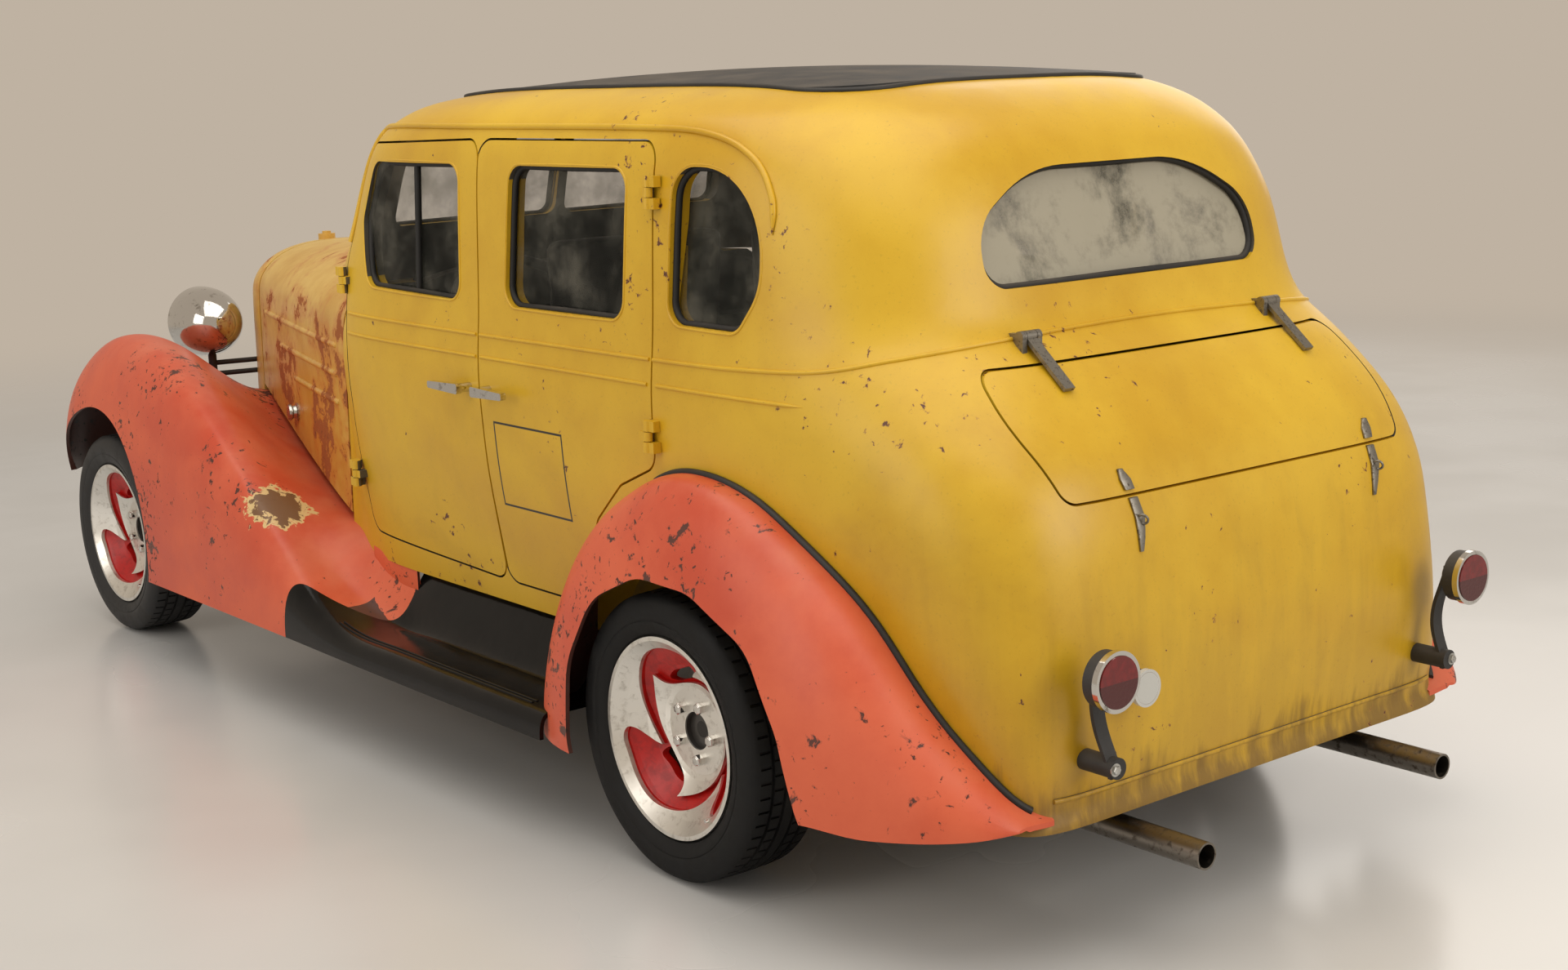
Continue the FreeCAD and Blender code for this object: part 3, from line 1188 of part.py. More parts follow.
def polar(x, points, turn):
    """Points of a wheel outline given by radius and angle."""
    result = []
    for radius, angle in points:
        a = math.radians(angle + turn)
        result.append(V(x + radius * math.cos(a), 0, TYRE_RADIUS + radius * math.sin(a)))
    return result


def claw_prism(x, third):
    """Prism through the rim whose outline repeats one third three times."""
    edges = []
    for i in range(CLAWS):
        curve = Part.BSplineCurve()
        points = polar(x, third, -i * 360.0 / CLAWS)
        if third[0][1] < third[-1][1]:
            points = polar(x, third, i * 360.0 / CLAWS)
        curve.interpolate(points)
        edges.append(curve.toShape())
    return Part.Face(Part.Wire(edges)).extrude(V(0, 900, 0))


def wheel_rim(x):
    """Cast left rim: flanged barrel, deep bowl with three curved claws, lug recesses and hub."""
    def p(deep, radius):
        return V(x, RIM_FACE_Y - deep, TYRE_RADIUS + radius)
    def turned(points):
        face = Part.Face(Part.makePolygon(points + points[:1]))
        return face.revolve(V(x, 0, TYRE_RADIUS), V(0, 1, 0), 360)
    back = RIM_WIDTH
    spindle = SPINDLE_RADIUS + HINGE_RUN
    profile = [p(0, RIM_RADIUS), p(0, RIM_RADIUS - 9)] + [p(deep, radius) for deep, radius in BOWL]
    profile += [p(HUB_STEP, HUB_BORE), p(HUB_STEP, spindle), p(back - 40, spindle), p(back - 40, 88),
                p(112, 96),
                p(58, 180), p(62, RIM_SEAT - RIM_WALL), p(back - 14, RIM_SEAT - RIM_WALL),
                p(back, RIM_RADIUS - 9),
                p(back, RIM_RADIUS), p(back - 8, RIM_RADIUS), p(back - 12, RIM_SEAT), p(12, RIM_SEAT),
                p(8, RIM_RADIUS)]
    rim = turned(profile)
    lowered = [p(deep + CHANNEL_DEPTH, r) for deep, r in BOWL]
    channel = turned([p(-20, HUB_BORE), p(-20, BOWL[0][1])] + lowered)
    channel = channel.common(claw_prism(x, CLAW_RING)).cut(claw_prism(x, CLAW_ISLAND))
    rim = rim.cut(channel)
    for i in range(CLAWS):
        curve = Part.BSplineCurve()
        curve.interpolate(Points=polar(x, CLAW_HOLE, i * 360.0 / CLAWS), PeriodicFlag=True)
        rim = rim.cut(Part.Face(Part.Wire([curve.toShape()])).extrude(V(0, 900, 0)))
    for i in range(LUGS):
        spot = polar(x, [(LUG_CIRCLE, LUG_TURN)], i * 360.0 / LUGS)[0]
        rim = rim.cut(rod(spot, (spot.x, 900, spot.z), LUG_RADIUS))
        floor = RIM_FACE_Y - BOWL[-1][0] - 12.0
        rim = rim.cut(rod((spot.x, floor, spot.z), (spot.x, 900, spot.z), LUG_RECESS))
    return rim


def make_wheels():
    """Four tyres and rims, and the two steering knuckles."""
    for name, x in (("front", WHEELBASE), ("rear", 0.0)):
        for hand, side in (("left", 1), ("right", -1)):
            keep("tyre_%s_%s" % (name, hand), [wheel_tyre(x, side)])
        rim = wheel_rim(x)
        keep("rim_%s_left" % name, [rim])
        keep("rim_%s_right" % name, [mirror(rim)])
    z = TYRE_RADIUS
    for hand, side in (("left", 1), ("right", -1)):
        y = side * KINGPIN_Y
        pieces = []
        for low in (z - 60, z + 35):
            pieces.append(rod((WHEELBASE, y, low), (WHEELBASE, y, low + 25), 26))
            pieces.append(box(WHEELBASE - 22, WHEELBASE + 22, min(y, y + side * 46), max(y, y + side * 46),
                              low, low + 25))
        pieces.append(box(WHEELBASE - 26, WHEELBASE + 26, min(y + side * 30, y + side * 56),
                          max(y + side * 30, y + side * 56), z - 60, z + 60))
        drum = y + side * 56.0
        pieces.append(rod((WHEELBASE, drum - side, z), (WHEELBASE, drum + side * DRUM_WIDTH, z), DRUM_RADIUS))
        pieces.append(rod((WHEELBASE, y + side * 50, z), (WHEELBASE, side * (RIM_FACE_Y - HUB_STEP), z),
                          SPINDLE_RADIUS))
        knuckle = pieces[0].multiFuse(pieces[1:])
        knuckle = knuckle.cut(rod((WHEELBASE, y, z - 80), (WHEELBASE, y, z + 80), KINGPIN_RADIUS + HINGE_RUN))
        keep("knuckle_" + hand, [knuckle.removeSplitter()])


def lamp_arm(side):
    """Flat curved bar that carries one tail lamp."""
    rings = []
    for x, y, z in TAIL_ARM:
        corners = [V(x - 4, side * (y - 15), z), V(x + 4, side * (y - 15), z), V(x + 4, side * (y + 15), z),
                   V(x - 4, side * (y + 15), z)]
        rings.append(Part.makePolygon(corners + corners[:1]))
    return Part.makeLoft(rings, True, False)


def make_lamps(outer):
    """Headlamps on their bars, tail lamps on their arms and the reversing lamp."""
    bowls = []
    lenses = []
    brackets = []
    for side in (1, -1):
        c = V(HEADLAMP_X, side * HEADLAMP_Y, HEADLAMP_Z)
        r = HEADLAMP_RADIUS
        points = []
        for i in range(9):
            angle = 0.5 * math.pi * i / 8
            points.append(V(c.x - HEADLAMP_DEPTH * math.sin(angle), c.y,
                            c.z + r * math.cos(angle) ** 0.9 if i < 8 else c.z))
        curve = Part.BSplineCurve()
        curve.interpolate(points)
        rim = [V(c.x + 16, c.y, c.z + r), V(c.x + 16, c.y, c.z)]
        wire = Part.Wire([curve.toShape(), Part.LineSegment(points[-1], rim[1]).toShape(),
                          Part.LineSegment(rim[1], rim[0]).toShape(),
                          Part.LineSegment(rim[0], points[0]).toShape()])
        bowl = Part.Face(wire).revolve(V(c.x, c.y, c.z), V(1, 0, 0), 360)
        bowl = bowl.cut(rod((c.x - 60, c.y, c.z), (c.x + 30, c.y, c.z), r - 8))
        bowls.append(bowl)
        lens = rod((c.x + 1, c.y, c.z), (c.x + 16, c.y, c.z), r - 8 - SHUT)
        lenses.append(lens)
        stem = rod((c.x - 50, c.y, c.z - r - 60), (c.x - 50, c.y, c.z - 60), 13)
        bars = []
        for z in (HEADLAMP_Z - 130, HEADLAMP_Z - 165):
            bars.append(rod((c.x - 50, c.y, z), (c.x - 80, side * 245, z), 8))
        foot = rod((c.x - 50, c.y, c.z - r - 60), (c.x - 50, c.y, 640), 13)
        bracket = stem.multiFuse(bars + [foot]).cut(bowl).cut(NODES["front_fenders"][0 if side > 0 else 1])
        bracket = bracket.cut(NODES["radiator_shell"][0])
        brackets.append(max(bracket.Solids, key=lambda s: s.Volume))
    keep("headlamp_bowls", bowls)
    keep("headlamp_brackets", brackets)
    stands = []
    rims = []
    reds = []
    for side in (1, -1):
        c = V(TAIL_LAMP_X, side * TAIL_LAMP_Y, TAIL_LAMP_Z)
        r = TAIL_LAMP_RADIUS
        cup = rod((c.x + 8, c.y, c.z), (c.x + 34, c.y, c.z), r - 4).fuse(
            Part.makeCone(r - 4, 20, 22, V(c.x + 34, c.y, c.z), V(1, 0, 0)))
        bolt = V(TAIL_BOLT_X, side * TAIL_BOLT_Y, TAIL_BOLT_Z)
        foot = rod((bolt.x, bolt.y, bolt.z), (bolt.x + 110, bolt.y, bolt.z), 20)
        arm = lamp_arm(side)
        stand = biggest(foot.multiFuse([arm, cup]).removeSplitter().cut(outer))
        stands.append(stand)
        ring = rod((c.x - 4, c.y, c.z), (c.x + 8, c.y, c.z), r)
        ring = ring.cut(rod((c.x - 10, c.y, c.z), (c.x + 8, c.y, c.z), r - 8))
        rims.append(ring)
        lens = rod((c.x - 6, c.y, c.z), (c.x + 8, c.y, c.z), r - 8 - SHUT)
        reds.append(lens)
    keep("tail_lamp_rims", rims)
    keep("tail_lamp_lenses", reds)
    tail_x = along(TAIL_LINE, REVERSE_LAMP_Z)
    cup = rod((tail_x - 42, REVERSE_LAMP_Y, REVERSE_LAMP_Z), (tail_x + 60, REVERSE_LAMP_Y, REVERSE_LAMP_Z),
              REVERSE_LAMP_RADIUS - 4)
    keep("tail_lamp_stands", stands + [biggest(cup.cut(outer))])
    clear = rod((tail_x - 52, REVERSE_LAMP_Y, REVERSE_LAMP_Z),
                (tail_x - 42, REVERSE_LAMP_Y, REVERSE_LAMP_Z), REVERSE_LAMP_RADIUS)
    keep("clear_lenses", lenses + [clear])


def make_fittings(outer):
    """Door handles, trunk hinges and hasps."""
    z = 935.0
    for name, x, way in (("front", 848, 1), ("rear", 762, -1)):
        y = side_y(x, z)
        spindle = rod((x, y - 12, z), (x, y + 44, z), 11)
        lever = prism_y([(x - 14 * way, z - 12), (x + 120 * way, z - 8), (x + 120 * way, z + 8),
                         (x - 14 * way, z + 12)],
                        6, y + 30, y + 44)
        handle = spindle.fuse(lever).removeSplitter()
        door = NODES["door_%s_left" % name][0]
        handle = handle.cut(door)
        handle = biggest(handle)
        keep("handle_%s_left" % name, [handle])
        keep("handle_%s_right" % name, [mirror(handle)])
    fixed = []
    moving = []
    lid = NODES["trunk_lid"][0]
    for side in (1, -1):
        y = side * STRAP_Y
        pin = V(LID_PIN_X, y, LID_PIN_Z)
        for offset in (-26, 14):
            knuckle = rod((pin.x, y + offset, pin.z), (pin.x, y + offset + 12, pin.z), STRAP_PIN + 6)
            foot = box(pin.x - 10, pin.x + 60, y + offset, y + offset + 12, pin.z - 60, pin.z + 6)
            fixed.append([knuckle, foot])
        bolt = rod((pin.x, y - 26, pin.z), (pin.x, y + 26, pin.z), STRAP_PIN)
        group = fixed.pop() + fixed.pop() + [bolt]
        fixed.append(group[0].multiFuse(group[1:]).removeSplitter().cut(outer))
        eye = rod((pin.x, y - 13, pin.z), (pin.x, y + 13, pin.z), STRAP_PIN + 6)
        low = V(-690, y, 0)
        low.z = lid_height(low.x)
        under = V(pin.x, y - 13, pin.z - 5)
        end = V(low.x, y - 13, low.z + 1.5)
        thick = V(-5, 0, 6)
        strap = Part.makePolygon([under, end, end + thick, under + thick, under])
        strap = Part.Face(strap).extrude(V(0, 26, 0)).fuse(eye)
        pad = Part.makePolygon([end, end + V(32, 0, 28), end + V(36, 0, 20), end + V(4, 0, -8), end])
        strap = strap.fuse(Part.Face(pad).extrude(V(0, 26, 0)))
        strap = strap.cut(rod((pin.x, y - 40, pin.z), (pin.x, y + 40, pin.z), STRAP_PIN + HINGE_RUN))
        moving.append(biggest(strap.cut(lid)))
    keep("trunk_hinges", fixed)
    keep("lid_straps", moving)


def lid_height(x):
    """Height of the tail's centre line at a place along the car."""
    low, high = 880.0, 1150.0
    while high - low > 0.1:
        middle = (low + high) / 2.0
        if along(TAIL_LINE, middle) < x:
            low = middle
        else:
            high = middle
    return low


if __name__ == "__main__":
    body = make_body()
    make_hood()
    make_fenders(body)
    make_chassis()
    make_cabin()
    make_wheels()
    make_lamps(body)
    make_fittings(body)
    whole = Part.makeCompound([solid for solids in NODES.values() for solid in solids])
    lowest = whole.optimalBoundingBox(False)
    shift = -(lowest.XMin + lowest.XMax) / 2.0
    for name, solids in NODES.items():
        shape = solids[0] if len(solids) == 1 else Part.makeCompound(solids)
        shape.translate(V(shift, 0, 0))
        shape.exportStep("parts/%s.step" % name)
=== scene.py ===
"""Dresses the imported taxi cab: worn paint, rubber, glass, bright metal, seats and trim."""

import math

import bmesh
import bpy
from mathutils import Matrix, Vector


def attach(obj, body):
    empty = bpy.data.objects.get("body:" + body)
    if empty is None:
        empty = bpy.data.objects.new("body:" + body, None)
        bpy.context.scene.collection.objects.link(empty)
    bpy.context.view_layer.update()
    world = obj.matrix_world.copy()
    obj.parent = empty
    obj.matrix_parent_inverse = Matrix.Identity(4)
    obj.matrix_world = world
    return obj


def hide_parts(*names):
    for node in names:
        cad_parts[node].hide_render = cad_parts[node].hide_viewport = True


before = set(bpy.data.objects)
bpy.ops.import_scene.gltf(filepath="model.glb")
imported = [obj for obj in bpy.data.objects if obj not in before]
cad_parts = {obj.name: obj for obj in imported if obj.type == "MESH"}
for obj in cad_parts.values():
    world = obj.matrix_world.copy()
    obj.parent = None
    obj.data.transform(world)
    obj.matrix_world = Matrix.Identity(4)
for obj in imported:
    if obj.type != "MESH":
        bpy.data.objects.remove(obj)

bl_info = {
    "name": "Old Taxi Cab Dressing",
    "version": (1, 0, 0),
    "blender": (4, 5, 0),
    "location": "View3D > Sidebar > Taxi Cab",
    "description": "Finishes, seats, tyres and small trim of an old four-door cab",
    "category": "Object",
}

REAR_AXLE = -1.140
FRONT_AXLE = REAR_AXLE + 2.870
WHEEL_Z = 0.303
CORNERS = ("front_left", "front_right", "rear_left", "rear_right")
SIDES = {"left": 1, "right": -1}
TRACK_HALF = 0.724
RIM_HALF = 0.084
LENS_Z = 0.564
# Bare patch on the left front fender
SCRAPE = (0.685, 0.76, 0.525)
# Blank frame on the rear doors
SIGN_X = (0.4745 + REAR_AXLE, 0.7575 + REAR_AXLE)
SIGN_Z = (0.667, 0.864)
# Cone of the rims' face: its depth at a radius, and how much shallower it gets further out
BOWL_DEPTH = 0.072
BOWL_RADIUS = 0.104
BOWL_SLOPE = 0.667
CABIN_MIDDLE = (-0.64, 0.0, 0.90)


# Node trees


def add(tree, kind, inputs=None, **settings):
    """New node with its settings made and its sockets linked or set."""
    made = tree.nodes.new(kind)
    for name, value in settings.items():
        setattr(made, name, value)
    for socket, value in (inputs or {}).items():
        if isinstance(value, bpy.types.NodeSocket):
            tree.links.new(value, made.inputs[socket])
        else:
            made.inputs[socket].default_value = value
    return made


def calc(tree, operation, first, second=0.0, third=0.0, clamp=False):
    """One step of arithmetic on values."""
    made = add(tree, "ShaderNodeMath", {0: first, 1: second, 2: third}, operation=operation)
    made.use_clamp = clamp
    return made.outputs[0]


def times(tree, first, second, clamp=False):
    """Product of two values."""
    return calc(tree, "MULTIPLY", first, second, clamp=clamp)


def plus(tree, first, second, clamp=False):
    """Sum of two values."""
    return calc(tree, "ADD", first, second, clamp=clamp)


def minus(tree, first, second, clamp=False):
    """Difference of two values."""
    return calc(tree, "SUBTRACT", first, second, clamp=clamp)


def blend_colours(tree, share, first, second, mode="MIX"):
    """Colour between two others, by a share of the second."""
    made = add(tree, "ShaderNodeMix", {0: share, 6: first, 7: second}, data_type="RGBA", blend_type=mode)
    made.clamp_factor = True
    return made.outputs[2]


def ramp(tree, value, low, high, start=0.0, end=1.0):
    """Value taken smoothly from one span to another."""
    made = add(
        tree,
        "ShaderNodeMapRange",
        {0: value, 1: low, 2: high, 3: start, 4: end},
        interpolation_type="SMOOTHSTEP",
    )
    return made.outputs[0]


def noise(tree, place, scale, detail=3.0, roughness=0.55, bend=0.0):
    """Cloudy value between about 0.2 and 0.8."""
    sockets = {"Vector": place, "Scale": scale, "Detail": detail, "Roughness": roughness, "Distortion": bend}
    return add(tree, "ShaderNodeTexNoise", sockets).outputs[0]


def stretched(tree, place, scale, shift=(0.0, 0.0, 0.0)):
    """Place on the object with its axes drawn out or pressed together."""
    return add(tree, "ShaderNodeMapping", {"Vector": place, "Scale": scale, "Location": shift}).outputs[0]


def group(name, inputs, outputs):
    """Empty shader group with named sockets."""
    tree = bpy.data.node_groups.new(name, "ShaderNodeTree")
    for label, kind, value in inputs:
        socket = tree.interface.new_socket(label, in_out="INPUT", socket_type="NodeSocket" + kind)
        if kind != "Vector":
            socket.default_value = value
    for label, kind in outputs:
        tree.interface.new_socket(label, in_out="OUTPUT", socket_type="NodeSocket" + kind)
    return tree, tree.nodes.new("NodeGroupInput").outputs, tree.nodes.new("NodeGroupOutput").inputs


def chips_group():
    """Paint chips with a dark rim, gathered in loose clusters."""
    tree, given, result = group(
        "Paint Chips",
        [
            ("Place", "Vector", None), ("Size", "Float", 30.0), ("Amount", "Float", 0.3),
            ("Cluster", "Float", 3.0)
        ],
        [("Chips", "Float"), ("Rim", "Float"), ("Height", "Float")],
    )
    spots = noise(tree, given["Place"], given["Size"], 4.0, 0.62, 0.4)
    crowd = noise(tree, given["Place"], given["Cluster"], 2.0)
    wanted = plus(tree, spots, times(tree, minus(tree, crowd, 0.5), 0.5))
    level = minus(tree, 0.95, times(tree, given["Amount"], 0.5))
    depth = minus(tree, wanted, level)
    chips = ramp(tree, depth, 0.0, 0.012)
    tree.links.new(chips, result["Chips"])
    tree.links.new(minus(tree, ramp(tree, depth, -0.035, 0.0), chips, clamp=True), result["Rim"])
    tree.links.new(minus(tree, 1.0, chips), result["Height"])
    return tree


def streaks_group():
    """Upright runs of dirt that fade from their foot to their head."""
    tree, given, result = group(
        "Dirt Runs",
        [
            ("Place", "Vector", None), ("Foot", "Float", 0.25), ("Head", "Float", 0.75),
            ("Density", "Float", 0.5)
        ],
        [("Mask", "Float")],
    )
    height = add(tree, "ShaderNodeSeparateXYZ", {0: given["Place"]}).outputs["Z"]
    runs = noise(tree, stretched(tree, given["Place"], (1.0, 1.0, 0.12)), 26.0, 4.0, 0.6, 0.3)
    cloud = noise(tree, given["Place"], 5.0, 3.0)
    fall = add(tree, "ShaderNodeMapRange", {0: height, 1: given["Head"], 2: given["Foot"]}).outputs[0]
    sum_up = plus(tree, times(tree, runs, 0.9), times(tree, cloud, 0.6))
    line = minus(tree, sum_up, minus(tree, 1.25, times(tree, fall, 0.75)))
    mask = times(tree, ramp(tree, line, -0.16, 0.22), given["Density"], clamp=True)
    tree.links.new(mask, result["Mask"])
    return tree


def mottle_group():
    """Uneven fading of an old coat of paint, broad and fine."""
    tree, given, result = group(
        "Faded Coat",
        [("Place", "Vector", None), ("Broad", "Float", 1.6), ("Fine", "Float", 14.0)],
        [("Fade", "Float"), ("Speckle", "Float")],
    )
    broad = noise(tree, given["Place"], given["Broad"], 3.0, 0.5, 0.6)
    fine = noise(tree, given["Place"], given["Fine"], 5.0, 0.65)
    both = plus(tree, times(tree, broad, 0.7), times(tree, fine, 0.3))
    tree.links.new(ramp(tree, both, 0.34, 0.66), result["Fade"])
    tree.links.new(ramp(tree, noise(tree, given["Place"], 160.0, 2.0), 0.62, 0.72), result["Speckle"])
    return tree


def grain_group():
    """Fine uneven surface, as height."""
    tree, given, result = group(
        "Surface Grain",
        [("Place", "Vector", None), ("Scale", "Float", 300.0), ("Waves", "Float", 6.0)],
        [("Height", "Float"), ("Wear", "Float")],
    )
    fine = noise(tree, given["Place"], given["Scale"], 3.0, 0.6)
    waves = noise(tree, given["Place"], given["Waves"], 2.0, 0.5)
    total = plus(tree, times(tree, fine, 0.12), waves)
    tree.links.new(total, result["Height"])
    tree.links.new(ramp(tree, fine, 0.4, 0.65), result["Wear"])
    return tree


def dust_group():
    """Dust that lies on faces that look upwards."""
    tree, given, result = group(
        "Settled Dust",
        [("Place", "Vector", None), ("Amount", "Float", 0.4)],
        [("Mask", "Float")],
    )
    upward = add(tree, "ShaderNodeSeparateXYZ", {0: add(tree, "ShaderNodeNewGeometry").outputs["Normal"]})
    patches = ramp(tree, noise(tree, given["Place"], 7.0, 4.0, 0.6), 0.3, 0.75)
    flat = ramp(tree, upward.outputs["Z"], 0.2, 0.95)
    mask = times(tree, times(tree, patches, flat), given["Amount"], clamp=True)
    tree.links.new(mask, result["Mask"])
    return tree


def patch_group():
    """Soft-edged ragged patch round a point on the object."""
    tree, given, result = group(
        "Ragged Patch",
        [
            ("Place", "Vector", None), ("Centre", "Vector", None), ("Reach", "Float", 0.1),
            ("Break", "Float", 20.0)
        ],
        [("Mask", "Float"), ("Core", "Float")],
    )
    away = add(tree, "ShaderNodeVectorMath", {0: given["Place"], 1: given["Centre"]}, operation="DISTANCE")
    near = calc(tree, "DIVIDE", away.outputs["Value"], given["Reach"])
    torn = noise(tree, given["Place"], given["Break"], 5.0, 0.65, 0.5)
    depth = minus(tree, times(tree, torn, 2.0), near)
    tree.links.new(ramp(tree, depth, 0.0, 0.06), result["Mask"])
    tree.links.new(ramp(tree, depth, 0.22, 0.3), result["Core"])
    return tree


GROUPS = {
    "chips": chips_group,
    "runs": streaks_group,
    "mottle": mottle_group,
    "grain": grain_group,
    "dust": dust_group,
    "patch": patch_group,
}
made_groups = {}


def effect(tree, name, place, **values):
    """One of the shared effects, set for this material."""
    if name not in made_groups:
        made_groups[name] = GROUPS[name]()
    made = add(tree, "ShaderNodeGroup", node_tree=made_groups[name])
    tree.links.new(place, made.inputs["Place"])
    for label, value in values.items():
        if isinstance(value, bpy.types.NodeSocket):
            tree.links.new(value, made.inputs[label])
        else:
            made.inputs[label].default_value = value
    return made.outputs


def material(name, **sockets):
    """New material, with its shader's sockets set, and the place on the object."""
    made = bpy.data.materials.new(name)
    made.use_nodes = True
    tree = made.node_tree
    shader = tree.nodes["Principled BSDF"]
    for socket, value in sockets.items():
        shader.inputs[socket.replace("_", " ")].default_value = value
    place = add(tree, "ShaderNodeTexCoord").outputs["Object"]
    return made, tree, shader.inputs, place


def bump(tree, shader, height, depth, strength=1.0):
    """Turns a height in metres into the shader's normal."""
    made = add(tree, "ShaderNodeBump", {"Height": height, "Distance": depth, "Strength": strength})
    tree.links.new(made.outputs[0], shader["Normal"])


# Finishes


def colour(red, green, blue):
    """Colour written as on a screen, from 0 to 255, made linear."""
    shares = (value / 255 for value in (red, green, blue))
    return (*(c / 12.92 if c <= 0.04 else ((c + 0.055) / 1.055) ** 2.4 for c in shares), 1.0)


def over(tree, coat, share, *rgb):
    """Coat with a colour, written as on a screen, laid over a share of it."""
    return blend_colours(tree, share, coat, colour(*rgb))


def axes(tree, place):
    """Separate X, Y and Z of a place."""
    parts = add(tree, "ShaderNodeSeparateXYZ", {0: place}).outputs
    return parts["X"], parts["Y"], parts["Z"]


def between(tree, value, low, high, soft):
    """1 inside a span of values, 0 outside it, with soft ends."""
    return times(tree, ramp(tree, value, low - soft, low), ramp(tree, value, high + soft, high))


def facing_in(tree, middle, weights):
    """1 on faces that look towards a middle point of the object, 0 on those that look out."""
    coordinates = add(tree, "ShaderNodeTexCoord").outputs
    steps = (("SUBTRACT", middle), ("MULTIPLY", weights), ("DOT_PRODUCT", coordinates["Normal"]))
    away = coordinates["Object"]
    for operation, other in steps:
        made = add(tree, "ShaderNodeVectorMath", {0: away, 1: other}, operation=operation)
        away = made.outputs[0]
    return calc(tree, "LESS_THAN", made.outputs["Value"], -0.12)


def yellow_paint(settings, name, sign=False):
    """Faded yellow paint of body, doors and trunk lid; painted shade low down, dirt at the foot and the tail.
    """
    made, tree, shader, place = material(name, Roughness=0.36, Coat_Weight=0.08, Coat_Roughness=0.3)
    x, y, z = axes(tree, place)
    mottle = effect(tree, "mottle", place, Broad=1.3, Fine=9.0)
    coat = blend_colours(tree, mottle["Fade"], settings.yellow_deep, settings.yellow)
    # Painted shade: the yellow deepens towards the bottom of the body.
    low = ramp(tree, z, 0.95, 0.35)
    coat = over(tree, coat, times(tree, low, 0.25), 186, 134, 20)
    tail = ramp(tree, x, -1.55, -1.95)
    foot = effect(tree, "runs", place, Foot=0.25, Head=0.47, Density=0.85)["Mask"]
    foot = times(tree, foot, tail)
    haze = times(tree, ramp(tree, noise(tree, place, 3.2, 5.0, 0.6, 0.8), 0.5, 0.74), 0.34)
    haze = times(tree, haze, ramp(tree, z, 1.5, 0.5))
    wide = stretched(tree, place, (0.8, 0.8, 1.0))
    shade = effect(tree, "runs", wide, Foot=0.2, Head=1.25, Density=0.28)["Mask"]
    coat = over(tree, coat, times(tree, haze, 0.6), 150, 108, 30)
    coat = over(tree, coat, times(tree, shade, times(tree, tail, 0.7)), 140, 104, 34)
    coat = over(tree, coat, times(tree, foot, 0.85), 106, 78, 38)
    chips = effect(tree, "chips", place, Size=40.0, Amount=0.415, Cluster=2.4)
    coat = over(tree, coat, chips["Rim"], 170, 118, 44)
    coat = over(tree, coat, chips["Chips"], 92, 48, 26)
    coat = over(tree, coat, times(tree, mottle["Speckle"], 0.12), 90, 66, 30)
    if sign:
        coat = over(tree, coat, sign_lines(tree, x, y, z), 34, 28, 22)
    # Faces that look into the cabin take the colour of its lining.
    inward_faces = facing_in(tree, CABIN_MIDDLE, (0.25, 1.0, 0.5))
    coat = over(tree, coat, inward_faces, 84, 78, 68)
    tree.links.new(coat, shader["Base Color"])
    rough = plus(tree, 0.3, times(tree, mottle["Fade"], 0.12))
    rough = plus(tree, rough, times(tree, foot, 0.3), clamp=True)
    tree.links.new(rough, shader["Roughness"])
    grain = effect(tree, "grain", place, Scale=260.0, Waves=7.0)
    height = plus(tree, grain["Height"], times(tree, chips["Height"], 0.25))
    bump(tree, shader, height, 0.0012)
    return made


def sign_lines(tree, x, y, z):
    """Thin blank frame painted on the rear doors."""
    inside = []
    for value, (low, high) in ((x, SIGN_X), (z, SIGN_Z)):
        middle, half = (low + high) / 2, (high - low) / 2
        away = calc(tree, "ABSOLUTE", minus(tree, value, middle))
        inside.append(minus(tree, half, away))
    edge = calc(tree, "MINIMUM", inside[0], inside[1])
    line = between(tree, edge, 0.0, 0.0045, 0.0006)
    outer = calc(tree, "GREATER_THAN", calc(tree, "ABSOLUTE", y), 0.6)
    return times(tree, line, outer)


def hood_paint(settings):
    """Paler yellow of the hood, worn through to orange rust on its side and its top."""
    made, tree, shader, place = material("Hood Paint", Roughness=0.5)
    z = axes(tree, place)[2]
    mottle = effect(tree, "mottle", place, Broad=2.2, Fine=16.0)
    coat = blend_colours(tree, mottle["Fade"], settings.hood_deep, settings.hood_pale)
    top = ramp(tree, z, 0.98, 1.05)
    rust = noise(tree, place, 4.2, 6.0, 0.66, 0.7)
    fine = noise(tree, place, 24.0, 5.0, 0.7)
    total = plus(tree, times(tree, rust, 0.72), times(tree, fine, 0.28))
    start = plus(tree, 0.5, times(tree, top, 0.06))
    depth = minus(tree, total, start)
    thin = ramp(tree, depth, -0.05, 0.05)
    deep = ramp(tree, depth, 0.035, 0.06)
    coat = over(tree, coat, times(tree, thin, 0.75), 196, 122, 44)
    coat = over(tree, coat, times(tree, deep, 0.85), 150, 76, 28)
    brown = ramp(tree, noise(tree, place, 52.0, 4.0, 0.7), 0.58, 0.7)
    coat = over(tree, coat, times(tree, times(tree, brown, deep), 0.9), 84, 42, 24)
    tree.links.new(coat, shader["Base Color"])
    tree.links.new(plus(tree, 0.4, times(tree, deep, 0.4), clamp=True), shader["Roughness"])
    bump(tree, shader, plus(tree, times(tree, deep, -0.5), fine), 0.0009)
    return made


